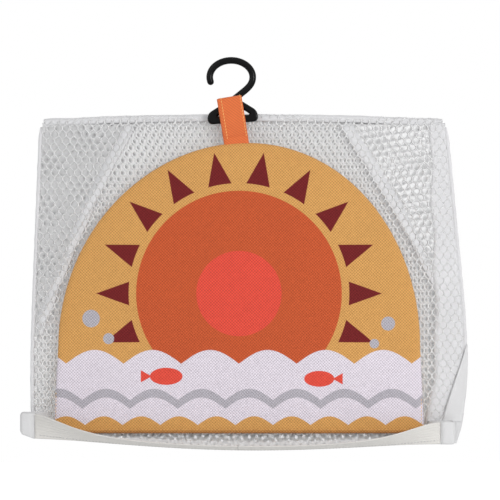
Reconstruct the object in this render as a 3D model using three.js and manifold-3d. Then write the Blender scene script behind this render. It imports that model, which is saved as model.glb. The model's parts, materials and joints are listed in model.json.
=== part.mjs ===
// Bath toy organizer: a padded dome panel that hangs from a plastic hook by a loop of tape,
// with a net bag that is folded up flat behind it. Sizes are millimetres and +Z is up.
// The front looks along -Y. The origin is the hook's seat, under the top of its ring.
import * as THREE from 'three';
import { mergeVertices } from 'three/addons/utils/BufferGeometryUtils.js';
import Module from 'manifold-3d';

// Clearances that all pieces share
const SEWN_GAP = 0.3;
const CUT_OVERRUN = 3;

// Hanger hook, one piece of moulded plastic
const HOOK_ROD = 5.6;
const RING_ACROSS = 34.4;
const RING_TALL = 26.8;
const RING_END_DEGREES = 196;
const NECK_DROP = 18.4;
const NECK_SIDESTEP = 14.4;
const EYE_WIDTH = 40.4;
const EYE_HEIGHT = 21.1;
const EYE_THICKNESS = 4.6;
const EYE_BAR = 6;
const EYE_SIDE = 5;
const EYE_END_HEIGHT = 8.8;
const EYE_CORNER = 4.2;
const EYE_EDGE_ROUND = 1.3;
const EYE_TILT_DEGREES = 4;
const EYE_SIDESTEP = 1.8;
const COLLAR_SUNK = 3.9;
const COLLAR_LENGTH = 4.4;
const COLLAR_GROWTH = 1.1;

// Hanging strap, a loop of twill tape that passes through the hook's eye
const STRAP_WIDTH = 19.6;
const STRAP_THICKNESS = 1;
const STRAP_SLACK = 15.9;
const STRAP_DROP = 18.1;
const STRAP_BULGE = 7.4;
const STRAP_TUCK = 6.4;
const STRAP_ROOT = 3;
const STRAP_ROOT_GAP = 1.15;
const STRAP_SLOT_ROOM = 0.6;
const STRAP_LEAN_DEGREES = 9.2;
const STRAP_SIDESTEP = 1;

// Dome panel, two covers round a foam sheet
const PANEL_WIDTH = 296;
const PANEL_SHOULDER = 289.6;
const PANEL_HEIGHT = 233.2;
const DOME_RISE = 163.6;
const PANEL_CORNER = 8;
const PANEL_SIDESTEP = 6.2;
const COVER_THICKNESS = 0.7;
const PANEL_EDGE = 5;
const FRONT_CROWN = 3;
const BACK_CROWN = 0.6;
const HEM_TAPE_WIDTH = 8;
const HEM_TAPE_THICKNESS = 0.9;

// Net bag, folded up behind the panel. Its mouth is at the panel's lower edge and its
// bottom is the soft fold at the top.
const BAG_RISE = 23.2;
const BAG_BELLY_HEIGHT = 72;
const BAG_TOP_WIDTH = 326.4;
const BAG_BELLY_WIDTH = 350.4;
const BAG_MOUTH_WIDTH = 342.2;
const BAG_TOP_SIDESTEP = 9.4;
const BAG_BELLY_SIDESTEP = 14.2;
const BAG_MOUTH_SIDESTEP = 11.1;
const BAG_TOP_BOW = 4;
const BAG_CORNER = 6;
const NET_THICKNESS = 0.9;
const BACK_WALL_DEPTH = 5.2;
const LAYER_STEP = 2.2;
const NET_PITCH = 30;
const NET_ROW = 24;
const NET_STRAND = 5.4;
const NET_HEM = 2.5;
const SEAM_WIDTH = 2.4;
const GUSSET_LEFT_WIDTH = 72;
const GUSSET_RIGHT_WIDTH = 81;
const GUSSET_LENGTH = 178;
const BACK_WALL_FOOT = 6;
const FRONT_WALL_FOOT = 10.6;
const SIDE_TAPE_WIDTH = 15;
const SIDE_TAPE_LENGTH = 58;
const SIDE_TAPE_THICKNESS = 1;

// The line under the panel's lower edge that the bag turns about when it is let down
const FOLD_LINE_DROP = 2.6;

// Mouth band, a stiff ribbed webbing along the front net's rim
const BAND_WIDTH = 20;
const BAND_THICKNESS = 1.3;
const BAND_LEFT_REACH = 156.4;
const BAND_RIGHT_REACH = 166.6;
const BAND_LEFT_DROP = 1;
const BAND_RIGHT_DROP = 4.6;
const BAND_SAG = 6.6;
const BAND_FORWARD = 6.4;
const BAND_ROLL_DEGREES = 76;
const BAND_END_LENGTH = 12.4;
const BAND_END_OVERLAP = 9;
const BAND_END_DEPTH = 9.6;

// Faceting: how many flats stand for each round or swept form
const CURVE_SEGMENTS = 3;
const ROD_SIDES = 10;
const RING_STEPS = 24;
const NECK_STEPS = 9;
const STRAP_STEPS = 40;
const OUTLINE_POINTS = 48;
const SIDE_STEPS = 9;
const BAND_STATIONS = 24;
const TURN_STATIONS = 12;
const FOLD_SIDES = 4;

// Places worked out from the sizes above
const rodRadius = HOOK_ROD / 2;
const ringCentreZ = rodRadius - RING_TALL / 2;
const eyeApexX = RING_ACROSS / 2 - NECK_SIDESTEP;
const eyeCentreX = eyeApexX - EYE_SIDESTEP;
const eyeTopZ = ringCentreZ - NECK_DROP + rodRadius;
const barCentreZ = eyeTopZ - EYE_HEIGHT + EYE_BAR / 2;
const strapTopZ = barCentreZ + STRAP_SLACK;
const panelTopZ = barCentreZ - STRAP_DROP;
const panelBottomZ = panelTopZ - PANEL_HEIGHT;
const foldLineZ = panelBottomZ - FOLD_LINE_DROP;
const bagTopZ = panelTopZ + BAG_RISE;
const innerLeafDepth = BACK_WALL_DEPTH + LAYER_STEP;
const outerLeafDepth = innerLeafDepth + LAYER_STEP;
const frontWallDepth = outerLeafDepth + LAYER_STEP;
const bottomFoldRadius = (frontWallDepth - BACK_WALL_DEPTH + NET_THICKNESS) / 2;

const finishes = {
  hook: { color: 0x1c1c1d, roughness: 0.32, metalness: 0 },
  strap: { color: 0xdc6830, roughness: 0.85, metalness: 0 },
  face: { color: 0xdba552, roughness: 0.85, metalness: 0 },
  foam: { color: 0xf0ece0, roughness: 0.95, metalness: 0 },
  net: { color: 0xe0e0e2, roughness: 0.7, metalness: 0 },
  tape: { color: 0xe6e6e6, roughness: 0.8, metalness: 0 },
  webbing: { color: 0xdfe0e0, roughness: 0.75, metalness: 0 },
};

const wasm = await Module();
wasm.setup();

// Solids for the boolean cuts and joins: positions only, with shared points merged.
function toSolid(geometry) {
  const copy = geometry.clone();
  copy.deleteAttribute('normal');
  copy.deleteAttribute('uv');
  const merged = mergeVertices(copy);
  const vertProperties = Float32Array.from(merged.attributes.position.array);
  const triVerts = Uint32Array.from(merged.index.array);
  return new wasm.Manifold(new wasm.Mesh({ numProp: 3, vertProperties, triVerts }));
}

function toGeometry(solid) {
  const mesh = solid.getMesh();
  const geometry = new THREE.BufferGeometry();
  geometry.setAttribute('position', new THREE.BufferAttribute(mesh.vertProperties, 3));
  geometry.setIndex(new THREE.BufferAttribute(mesh.triVerts, 1));
  return geometry;
}

// A closed body from points and faces, turned as a whole so that its faces point out.
function closedBody(points, faces) {
  let sixVolumes = 0;
  for (const [a, b, c] of faces) {
    sixVolumes += points[a].dot(new THREE.Vector3().crossVectors(points[b], points[c]));
  }
  const geometry = new THREE.BufferGeometry().setFromPoints(points);
  geometry.setIndex(faces.flatMap(([a, b, c]) => (sixVolumes < 0 ? [a, c, b] : [a, b, c])));
  return geometry;
}

// Faces that close a flat section, wound the same way round as the section's own points.
function capFaces(section) {
  const normal = new THREE.Vector3();
  section.forEach((point, i) => {
    normal.add(new THREE.Vector3().crossVectors(point, section[(i + 1) % section.length]));
  });
  const across = new THREE.Vector3().crossVectors(normal, Math.abs(normal.z) > Math.abs(normal.x)
    ? new THREE.Vector3(1, 0, 0)
    : new THREE.Vector3(0, 0, 1)).normalize();
  const up = new THREE.Vector3().crossVectors(normal, across).normalize();
  const flat = section.map((point) => new THREE.Vector2(point.dot(across), point.dot(up)));
  return THREE.ShapeUtils.triangulateShape(flat, []).map(([a, b, c]) => {
    const turn = flat[b].clone().sub(flat[a]).cross(flat[c].clone().sub(flat[a]));
    return turn > 0 ? [a, b, c] : [a, c, b];
  });
}

// Skins a row of sections that all have as many points, and closes both ends.
function loft(sections) {
  const size = sections[0].length;
  const faces = [];
  for (let row = 0; row + 1 < sections.length; row += 1) {
    for (let i = 0; i < size; i += 1) {
      const here = row * size + i;
      const next = row * size + ((i + 1) % size);
      faces.push([here, next, next + size], [here, next + size, here + size]);
    }
  }
  const last = (sections.length - 1) * size;
  for (const [a, b, c] of capFaces(sections[0])) {
    faces.push([a, c, b], [a + last, b + last, c + last]);
  }
  return closedBody(sections.flat(), faces);
}

// The outline of a strip of even thickness along a route in a plane.
function stripOutline(route, thickness) {
  const left = [];
  const right = [];
  route.forEach((point, i) => {
    const before = route[Math.max(i - 1, 0)];
    const after = route[Math.min(i + 1, route.length - 1)];
    const along = after.clone().sub(before).normalize();
    const side = new THREE.Vector2(-along.y, along.x).multiplyScalar(thickness / 2);
    left.push(point.clone().add(side));
    right.unshift(point.clone().sub(side));
  });
  return [...left, ...right];
}

// Stands a geometry that was drawn in X and Y and extruded along Z up in X and Z.
function standUp(geometry) {
  const axes = [[1, 0, 0], [0, 0, 1], [0, -1, 0]].map((axis) => new THREE.Vector3(...axis));
  return geometry.applyMatrix4(new THREE.Matrix4().makeBasis(...axes));
}

// An upright plate of a shape in X and Z, with its middle at a depth along Y.
function plate(shape, thickness, depth) {
  const options = { depth: thickness, bevelEnabled: false, curveSegments: CURVE_SEGMENTS };
  const geometry = new THREE.ExtrudeGeometry(shape, options);
  return standUp(geometry).translate(0, depth + thickness / 2, 0);
}

// A polygon whose corners are rounded, drawn on a given path.
function roundedPath(path, corners, radius) {
  corners.forEach((corner, i) => {
    const before = corners[(i + corners.length - 1) % corners.length];
    const after = corners[(i + 1) % corners.length];
    const enter = corner.clone().add(before.clone().sub(corner).setLength(radius));
    const leave = corner.clone().add(after.clone().sub(corner).setLength(radius));
    if (i === 0) {
      path.moveTo(enter.x, enter.y);
    } else {
      path.lineTo(enter.x, enter.y);
    }
    path.quadraticCurveTo(corner.x, corner.y, leave.x, leave.y);
  });
  path.closePath();
  return path;
}

function makeMesh(name, geometry, finish) {
  const mesh = new THREE.Mesh(geometry, new THREE.MeshStandardMaterial(finishes[finish]));
  mesh.name = name;
  return mesh;
}

// The hook's ring is an open ellipse that runs on into a neck, which curls back to the middle.
function hookRoute() {
  const points = [];
  for (let i = 0; i <= RING_STEPS; i += 1) {
    const angle = THREE.MathUtils.degToRad(RING_END_DEGREES * (1 - i / RING_STEPS));
    const x = (RING_ACROSS / 2) * Math.cos(angle);
    points.push(new THREE.Vector3(x, 0, ringCentreZ + (RING_TALL / 2) * Math.sin(angle)));
  }
  const neck = new THREE.CubicBezierCurve3(
    new THREE.Vector3(RING_ACROSS / 2, 0, ringCentreZ),
    new THREE.Vector3(RING_ACROSS / 2, 0, ringCentreZ - NECK_DROP / 2),
    new THREE.Vector3(eyeApexX + NECK_SIDESTEP / 4, 0, ringCentreZ - (NECK_DROP * 2) / 3),
    new THREE.Vector3(eyeApexX, 0, ringCentreZ - NECK_DROP),
  );
  return new THREE.CatmullRomCurve3([...points, ...neck.getPoints(NECK_STEPS).slice(1)]);
}

// The eye is a low triangle with upright ends: a stout bar below and two thinner slopes.
function eyeGeometry() {
  const left = eyeCentreX - EYE_WIDTH / 2;
  const right = eyeCentreX + EYE_WIDTH / 2;
  const foot = eyeTopZ - EYE_HEIGHT;
  const shoulder = foot + EYE_END_HEIGHT;
  const floor = foot + EYE_BAR;
  const toVector = ([x, z]) => new THREE.Vector2(x, z);
  const apex = [eyeApexX, eyeTopZ];
  const corners = [[left, foot], [right, foot], [right, shoulder], apex, [left, shoulder]];
  const outline = roundedPath(new THREE.Shape(), corners.map(toVector), EYE_CORNER);
  const leftSlope = Math.atan2(eyeTopZ - shoulder, eyeApexX - left);
  const rightSlope = Math.atan2(eyeTopZ - shoulder, right - eyeApexX);
  const ceiling = eyeTopZ - EYE_SIDE / Math.cos((leftSlope + rightSlope) / 2);
  const hole = [
    [eyeApexX - (ceiling - floor) / Math.tan(leftSlope), floor],
    [eyeApexX + (ceiling - floor) / Math.tan(rightSlope), floor],
    [eyeApexX, ceiling],
  ];
  outline.holes.push(roundedPath(new THREE.Path(), hole.map(toVector), EYE_CORNER / 2));
  const geometry = new THREE.ExtrudeGeometry(outline, {
    depth: EYE_THICKNESS - 2 * EYE_EDGE_ROUND,
    bevelEnabled: true,
    bevelThickness: EYE_EDGE_ROUND,
    bevelSize: EYE_EDGE_ROUND,
    bevelOffset: -EYE_EDGE_ROUND,
    bevelSegments: 2,
    curveSegments: CURVE_SEGMENTS,
  });
  standUp(geometry).translate(-eyeApexX, EYE_THICKNESS / 2 - EYE_EDGE_ROUND, -eyeTopZ);
  geometry.rotateY(-THREE.MathUtils.degToRad(EYE_TILT_DEGREES));
  return geometry.translate(eyeApexX, 0, eyeTopZ);
}

function makeHangerHook() {
  const section = new THREE.Shape();
  section.absarc(0, 0, rodRadius, 0, 2 * Math.PI);
  const route = hookRoute();
  const rod = new THREE.ExtrudeGeometry(section, {
    steps: RING_STEPS + NECK_STEPS,
    curveSegments: ROD_SIDES,
    extrudePath: route,
  });
  const tip = new THREE.SphereGeometry(rodRadius, ROD_SIDES, ROD_SIDES / 2);
  tip.translate(...route.getPoint(0).toArray());
  // A short collar thickens the neck where it meets the eye.
  const wide = rodRadius + COLLAR_GROWTH;
  const straight = COLLAR_LENGTH / 3;
  const rows = [[0, 0], [wide, 0], [wide, straight], [rodRadius, COLLAR_LENGTH], [0, COLLAR_LENGTH]];
  const profile = rows.map(([radius, height]) => new THREE.Vector2(radius, height));
  const collar = new THREE.LatheGeometry(profile, ROD_SIDES);
  collar.rotateX(Math.PI / 2).translate(eyeApexX, 0, eyeTopZ - COLLAR_SUNK);
  const solid = toSolid(rod).add(toSolid(tip)).add(toSolid(collar)).add(toSolid(eyeGeometry()));
  return makeMesh('hanger_hook', toGeometry(solid), 'hook');
}

// The strap's route: up the front, over the slack fold, through the eye above its bar, and
// down the back. Each row gives how far forward the tape is as a share of the bulge, how high
// it is as a share of the loop above the panel, and how much of the strap's lean it takes.
const strapLegShare = 0.09;
const strapRouteShares = [
  [0.36, 0.2, 1], [0.84, 0.44, 1], [1, 0.75, 1], [0.97, 0.93, 1],
  [0.85, 1, 1], [0.7, 0.95, 1], [0.6, 0.84, 0.8], [0.45, 0.705, 0.5], [0.12, 0.657, 0.4],
  [-0.33, 0.648, 0.4], [-0.55, 0.56, 0.5], [-0.52, 0.4, 0.8], [-0.3, 0.2, 1],
];

function strapCentreX(z) {
  const lean = Math.tan(THREE.MathUtils.degToRad(STRAP_LEAN_DEGREES));
  return eyeApexX - STRAP_SIDESTEP + (barCentreZ - z) * lean;
}

function makeHangingStrap() {
  const loop = strapTopZ - panelTopZ;
  const rows = strapRouteShares.map(([forward, up, lean]) => (
    new THREE.Vector3(lean, -forward * STRAP_BULGE, panelTopZ + up * loop)
  ));
  const root = panelTopZ + STRAP_ROOT + STRAP_ROOT_GAP;
  rows.unshift(new THREE.Vector3(1, -strapLegShare * STRAP_BULGE, root));
  rows.push(new THREE.Vector3(1, strapLegShare * STRAP_BULGE, root));
  const route = new THREE.CatmullRomCurve3(rows).getPoints(STRAP_STEPS);
  const sections = route.map(({ x: lean, y, z }, i) => {
    const before = route[Math.max(i - 1, 0)];
    const after = route[Math.min(i + 1, route.length - 1)];
    const angle = THREE.MathUtils.degToRad(STRAP_LEAN_DEGREES) * lean;
    const width = new THREE.Vector3(Math.cos(angle), 0, Math.sin(angle));
    const along = after.clone().sub(before).setX(strapCentreX(after.z) - strapCentreX(before.z));
    const depth = new THREE.Vector3().crossVectors(along, width).setLength(STRAP_THICKNESS / 2);
    const centre = new THREE.Vector3(strapCentreX(z), y, z);
    width.setLength(STRAP_WIDTH / 2);
    return [
      centre.clone().add(width).add(depth), centre.clone().sub(width).add(depth),
      centre.clone().sub(width).sub(depth), centre.clone().add(width).sub(depth),
    ];
  });
  return makeMesh('hanging_strap', loft(sections), 'strap');
}

// The dome's outline, with its lower edge on Z = 0: a half ellipse on sides that flare a
// little, and rounded lower corners.
function domeOutline() {
  const half = PANEL_WIDTH / 2;
  const shoulder = PANEL_SHOULDER / 2;
  const springing = PANEL_HEIGHT - DOME_RISE;
  const shape = new THREE.Shape();
  shape.moveTo(0, 0);
  shape.lineTo(half - PANEL_CORNER, 0);
  shape.quadraticCurveTo(half, 0, half, PANEL_CORNER);
  shape.lineTo(shoulder, springing);
  shape.absellipse(0, springing, shoulder, DOME_RISE, 0, Math.PI, false);
  shape.lineTo(-half, PANEL_CORNER);
  shape.quadraticCurveTo(-half, 0, PANEL_CORNER - half, 0);
  shape.lineTo(0, 0);
  return shape.getSpacedPoints(OUTLINE_POINTS).slice(0, OUTLINE_POINTS);
}

// A closed dome-shaped body. The profile runs from the middle of one side over the rim to
// the middle of the other, each row as a share of the way out to the rim and a depth.
function domeBody(profile) {
  const outline = domeOutline();
  const middle = new THREE.Vector2(0, (PANEL_HEIGHT - DOME_RISE) * 3 / 2);
  const rings = profile.slice(1, -1);
  const points = rings.flatMap(([share, depth]) => outline.map((edge) => {
    const place = middle.clone().lerp(edge, share);
    return new THREE.Vector3(place.x, depth, place.y);
  }));
  const first = points.length;
  const size = outline.length;
  points.push(new THREE.Vector3(middle.x, profile[0][1], middle.y));
  points.push(new THREE.Vector3(middle.x, profile.at(-1)[1], middle.y));
  const faces = [];
  const lastRing = (rings.length - 1) * size;
  for (let i = 0; i < size; i += 1) {
    const next = (i + 1) % size;
    faces.push([first, next, i], [first + 1, lastRing + i, lastRing + next]);
    for (let row = 0; row < lastRing; row += size) {
      const [here, beside] = [row + i, row + next];
      faces.push([here, beside, beside + size], [here, beside + size, here + size]);
    }
  }
  return closedBody(points, faces);
}

// How far a cover's skin stands off the middle plane: steep at the turned edge, then crowned.
const EDGE_POWER = 20;
const CROWN_POWER = 2.4;
const domeRingShares = [0, 0.3, 0.6, 0.84, 0.94, 0.98, 1];
const foamReachShare = 0.97;
const coverRimShare = 1 - (4 * COVER_THICKNESS) / PANEL_HEIGHT;

function coverStandOff(share, edge, crown, rim) {
  const turned = 1 - (share / rim) ** EDGE_POWER;
  return SEWN_GAP / 2 + edge * turned + crown * (1 - (share / rim) ** CROWN_POWER);
}

// A leaning block in the panel's own frame, as wide as the strap, from one height over the
// panel's top edge to another.
function strapBlock(room, foot, head) {
  const depth = 2 * (strapLegShare * STRAP_BULGE + room) + STRAP_THICKNESS;
  const block = new THREE.BoxGeometry(STRAP_WIDTH + 2 * room, depth, head - foot);
  block.rotateY(-THREE.MathUtils.degToRad(STRAP_LEAN_DEGREES));
  const z = panelTopZ + (foot + head) / 2;
  return block.translate(strapCentreX(z) - PANEL_SIDESTEP, 0, z - panelBottomZ);
}

// The strap's sewn end needs a slot through the panel's upper seam.
function strapSlot() {
  return toSolid(strapBlock(STRAP_SLOT_ROOM, -STRAP_TUCK - SEWN_GAP, STRAP_ROOT + CUT_OVERRUN));
}

function makeCover(name, side, crown) {
  const edge = PANEL_EDGE / 2;
  const outer = domeRingShares.map((share) => [share, side * coverStandOff(share, edge, crown, 1)]);
  const inner = domeRingShares.map((share) => [
    share * coverRimShare,
    side * coverStandOff(share * coverRimShare, edge - COVER_THICKNESS, crown, coverRimShare),
  ]);
  const shell = toSolid(domeBody([...outer, ...inner.reverse()])).subtract(strapSlot());
  return makeMesh(name, toGeometry(shell), 'face');
}

function makePadding() {
  const reach = domeRingShares.filter((share) => share < foamReachShare);
  const skin = (side, crown) => reach.map((share) => [
    share,
    side * (coverStandOff(share, PANEL_EDGE / 2 - COVER_THICKNESS, crown, coverRimShare) - SEWN_GAP),
  ]);
  const body = domeBody([...skin(-1, FRONT_CROWN), ...skin(1, BACK_CROWN).reverse()]);
  return makeMesh('face_padding', toGeometry(toSolid(body).subtract(strapSlot())), 'foam');
}

// Both ends of the strap, sewn together into the panel's upper seam.
function makeStrapSewnEnd() {
  return makeMesh('strap_sewn_end', strapBlock(0, -STRAP_TUCK, STRAP_ROOT), 'strap');
}

// A strip of tape behind the panel's lower edge takes the net's sewn edge.
function makeHemTape() {
  const half = PANEL_WIDTH / 2 - PANEL_CORNER;
  const corners = [[-half, 0], [half, 0], [half, HEM_TAPE_WIDTH], [-half, HEM_TAPE_WIDTH]];
  const shape = new THREE.Shape(corners.map(([x, z]) => new THREE.Vector2(x, z)));
  const depth = PANEL_EDGE / 2 + BACK_CROWN + SEWN_GAP / 2;
  return makeMesh('panel_hem_tape', plate(shape, HEM_TAPE_THICKNESS, depth), 'tape');
}

// The bag's side edge, from the top fold past the widest place down to the mouth.
function bagSide(side) {
  const places = [
    [BAG_TOP_SIDESTEP, BAG_TOP_WIDTH, bagTopZ],
    [BAG_BELLY_SIDESTEP, BAG_BELLY_WIDTH, foldLineZ + BAG_BELLY_HEIGHT],
    [BAG_MOUTH_SIDESTEP, BAG_MOUTH_WIDTH, foldLineZ],
  ];
  const points = places.map(([middle, width, z]) => new THREE.Vector2(middle + (side * width) / 2, z));
  return new THREE.SplineCurve(points);
}

// The side edge's place at a height, moved in towards the bag's middle.
function bagSideX(side, z, inset = 0) {
  const points = bagSide(side).getPoints(SIDE_STEPS * 3);
  const below = Math.max(points.findIndex((point) => point.y <= z), 1);
  const [upper, lower] = [points[below - 1], points[below]];
  return THREE.MathUtils.mapLinear(z, upper.y, lower.y, upper.x, lower.x) - side * inset;
}

// The height of the top fold's crest, which drops a little towards both sides.
function bagCrestZ(x) {
  return bagTopZ - BAG_TOP_BOW * ((x - BAG_TOP_SIDESTEP) / (BAG_TOP_WIDTH / 2)) ** 2;
}

function isInside(point, outline) {
  let inside = false;
  outline.forEach((a, i) => {
    const b = outline[(i + 1) % outline.length];
    const crosses = (a.y > point.y) !== (b.y > point.y);
    if (crosses && point.x < ((b.x - a.x) * (point.y - a.y)) / (b.y - a.y) + a.x) {
      inside = !inside;
    }
  });
  return inside;
}

// A net: a plate with staggered six-sided gaps, each kept whole and clear of the hem.
const gapCornerShares = [[0, 1], [1, 0.42], [1, -0.42], [0, -1], [-1, -0.42], [-1, 0.42]];

function netPlate(outline, depth) {
  const shape = new THREE.Shape(THREE.ShapeUtils.isClockWise(outline) ? outline.toReversed() : outline);
  const halfWidth = (NET_PITCH - NET_STRAND) / 2;
  const halfHeight = (NET_ROW * 4 / 3 - NET_STRAND) / 2;
  const xs = outline.map((point) => point.x);
  const zs = outline.map((point) => point.y);
  let row = 0;
  for (let z = Math.max(...zs); z > Math.min(...zs); z -= NET_ROW) {
    const shift = row % 2 ? NET_PITCH / 2 : 0;
    for (let x = Math.min(...xs) + shift; x < Math.max(...xs); x += NET_PITCH) {
      const gap = (grow) => gapCornerShares.map(([across, up]) => (
        new THREE.Vector2(x + across * (halfWidth + grow), z + up * (halfHeight + grow))
      ));
      const room = gap(NET_HEM);
      const clear = room.every((corner) => isInside(corner, outline));
      if (clear && !outline.some((corner) => isInside(corner, room))) {
        shape.holes.push(new THREE.Path(gap(0)));
      }
    }
    row += 1;
  }
  return plate(shape, NET_THICKNESS, depth);
}

// The outline of a wall between its foot and the top fold, inside the side seams.
function wallOutline(foot) {
  const inset = SEAM_WIDTH + SEWN_GAP;
  const topGap = bottomFoldRadius + SEWN_GAP;
  const outline = [];
  for (const side of [1, -1]) {
    const cornerX = bagSideX(side, bagTopZ - BAG_CORNER, inset);
    const highest = bagCrestZ(cornerX) - topGap - BAG_CORNER / 2;
    const run = [];
    for (let i = 0; i <= SIDE_STEPS; i += 1) {
      const z = THREE.MathUtils.lerp(foot, highest, i / SIDE_STEPS);
      run.push(new THREE.Vector2(bagSideX(side, z, inset), z));
    }
    run.push(new THREE.Vector2(cornerX - side * BAG_CORNER, bagCrestZ(cornerX) - topGap));
    outline.push(...(side > 0 ? run : run.reverse()));
    if (side > 0) {
      for (let i = 1; i < SIDE_STEPS; i += 1) {
        const x = BAG_TOP_SIDESTEP + (BAG_TOP_WIDTH / 2 - BAG_CORNER) * (1 - 2 * i / SIDE_STEPS);
        outline.push(new THREE.Vector2(x, bagCrestZ(x) - topGap));
      }
    }
  }
  return outline;
}

// The inner fold of a gusset runs from far in at the bag's bottom out to its side.
const gussetBendShare = 0.42;

function gussetFoldLine(side, width) {
  const top = bagTopZ - 2 * bottomFoldRadius - BAG_TOP_BOW;
  const end = bagTopZ - GUSSET_LENGTH;
  const inset = SEAM_WIDTH + SEWN_GAP;
  const start = new THREE.Vector2(bagSideX(side, top, inset + width), top);
  const finish = new THREE.Vector2(bagSideX(side, end, inset + NET_HEM * 2), end);
  const middle = (top + end) / 2;
  const bend = new THREE.Vector2(bagSideX(side, middle, inset + width * gussetBendShare), middle);
  return new THREE.QuadraticBezierCurve(start, bend, finish).getPoints(SIDE_STEPS);
}

function leafOutline(side, width) {
  const fold = gussetFoldLine(side, width);
  const inset = SEAM_WIDTH + SEWN_GAP;
  const edge = fold.map(({ y }) => new THREE.Vector2(bagSideX(side, y, inset), y)).reverse();
  return [...fold, ...edge];
}

// A half-round turn of net that joins two layers, swept along a line in X and Z. It bulges
// to the left of the line's direction.
function halfRoundFold(line, nearDepth, farDepth) {
  const middle = (nearDepth + farDepth) / 2;
  const outer = (farDepth - nearDepth + NET_THICKNESS) / 2;
  const radii = [outer, outer - NET_THICKNESS];
  const sections = line.map((point, i) => {
    const before = line[Math.max(i - 1, 0)];
    const after = line[Math.min(i + 1, line.length - 1)];
    const along = after.clone().sub(before).normalize();
    const arcs = radii.map((radius) => {
      const arc = [];
      for (let j = 0; j <= FOLD_SIDES; j += 1) {
        const angle = Math.PI * (j / FOLD_SIDES - 1 / 2);
        const out = radius * Math.cos(angle);
        const y = middle + radius * Math.sin(angle);
        arc.push(new THREE.Vector3(point.x - along.y * out, y, point.y + along.x * out));
      }
      return arc;
    });
    return [...arcs[0], ...arcs[1].reverse()];
  });
  return loft(sections);
}

function makeGussetFold(name, side, width) {
  const line = gussetFoldLine(side, width);
  const moved = line.map(({ x, y }) => new THREE.Vector2(x - side * SEWN_GAP, y));
  const route = side > 0 ? moved.reverse() : moved;
  return makeMesh(name, halfRoundFold(route, innerLeafDepth, outerLeafDepth), 'net');
}

function makeBottomFold() {
  const line = [];
  const half = BAG_TOP_WIDTH / 2 - BAG_CORNER / 2;
  for (let i = 0; i <= 2 * SIDE_STEPS; i += 1) {
    const x = BAG_TOP_SIDESTEP + half * (i / SIDE_STEPS - 1);
    line.push(new THREE.Vector2(x, bagCrestZ(x) - bottomFoldRadius));
  }
  return makeMesh('bag_bottom_fold', halfRoundFold(line, BACK_WALL_DEPTH, frontWallDepth), 'net');
}

// A sewn seam along the bag's side, which joins two layers edge to edge.
function makeSideSeam(name, side, nearDepth, farDepth, foot) {
  const near = nearDepth - NET_THICKNESS / 2;
  const far = farDepth + NET_THICKNESS / 2;
  const top = bagCrestZ(bagSideX(side, bagTopZ)) - bottomFoldRadius - SEWN_GAP;
  const sections = [];
  for (let i = 0; i <= SIDE_STEPS; i += 1) {
    const z = THREE.MathUtils.lerp(foot, top - BAG_CORNER / 2, i / SIDE_STEPS);
    const outer = bagSideX(side, z);
    const inner = bagSideX(side, z, SEAM_WIDTH);
    const corners = [[outer, near], [outer, far], [inner, far], [inner, near]];
    sections.push(corners.map(([x, y]) => new THREE.Vector3(x, y, z)));
  }
  return makeMesh(name, loft(sections), 'net');
}

// The right side's binding tape lies folded out in front of the net, above the mouth.
function makeSideTape() {
  const depth = BACK_WALL_DEPTH - NET_THICKNESS / 2 - SEWN_GAP - SIDE_TAPE_THICKNESS / 2;
  const foot = foldLineZ - BAND_RIGHT_DROP + BAND_WIDTH + SEWN_GAP;
  const outline = [new THREE.Vector2(bagSideX(1, foot, SIDE_TAPE_WIDTH), foot)];
  for (let i = 0; i <= FOLD_SIDES; i += 1) {
    const z = foot + (SIDE_TAPE_LENGTH * i) / FOLD_SIDES;
    outline.push(new THREE.Vector2(bagSideX(1, z), z));
  }
  return makeMesh('side_tape_right', plate(new THREE.Shape(outline), SIDE_TAPE_THICKNESS, depth), 'tape');
}

// Where the band's sewn edge lies, and how far the band is rolled forward, along its length.
const SAG_POWER = 1.5;
const ROLL_POWER = 5.4;

function bandStation(share) {
  const x = THREE.MathUtils.lerp(-BAND_LEFT_REACH, BAND_RIGHT_REACH, share);
  const drop = THREE.MathUtils.lerp(BAND_LEFT_DROP, BAND_RIGHT_DROP, share);
  const sag = BAND_SAG * Math.sin(Math.PI * share) ** SAG_POWER;
  const roll = THREE.MathUtils.degToRad(BAND_ROLL_DEGREES) * (1 - Math.abs(2 * share - 1) ** ROLL_POWER);
  return { x, z: foldLineZ - drop - sag, roll };
}

function makeMouthBand() {
  const sections = [];
  for (let i = 0; i <= BAND_STATIONS; i += 1) {
    const { x, z, roll } = bandStation(i / BAND_STATIONS);
    const up = new THREE.Vector3(0, -Math.sin(roll), Math.cos(roll)).multiplyScalar(BAND_WIDTH);
    const through = new THREE.Vector3(0, Math.cos(roll), Math.sin(roll)).multiplyScalar(BAND_THICKNESS / 2);
    const sewn = new THREE.Vector3(x, -BAND_FORWARD, z);
    const free = sewn.clone().add(up);
    sections.push([
      sewn.clone().add(through), free.clone().add(through),
      free.clone().sub(through), sewn.clone().sub(through),
    ]);
  }
  return makeMesh('mouth_band', loft(sections), 'webbing');
}

// A folded end of tape, which wraps the mouth's corner from the band's end to the net.
function makeBandEnd(name, side, reach, drop) {
  const near = -BAND_FORWARD;
  const far = near + BAND_END_DEPTH;
  const inner = reach + SEWN_GAP;
  const outer = reach + BAND_END_LENGTH - BAND_THICKNESS / 2;
  const round = BAND_END_DEPTH / 2;
  const route = [new THREE.Vector2(inner, near)];
  for (let i = 0; i <= 2 * FOLD_SIDES; i += 1) {
    const angle = Math.PI * (i / (2 * FOLD_SIDES) - 1 / 2);
    const out = outer - (round / 2) * (1 - Math.cos(angle));
    route.push(new THREE.Vector2(out, (near + far) / 2 + round * Math.sin(angle)));
  }
  route.push(new THREE.Vector2(inner - BAND_END_OVERLAP, far));
  const section = stripOutline(route, BAND_THICKNESS);
  const foot = foldLineZ - drop;
  const sections = [foot, foot + BAND_WIDTH].map((z) => (
    section.map((point) => new THREE.Vector3(side * point.x, point.y, z))
  ));
  return makeMesh(name, loft(sections), 'tape');
}

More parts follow.
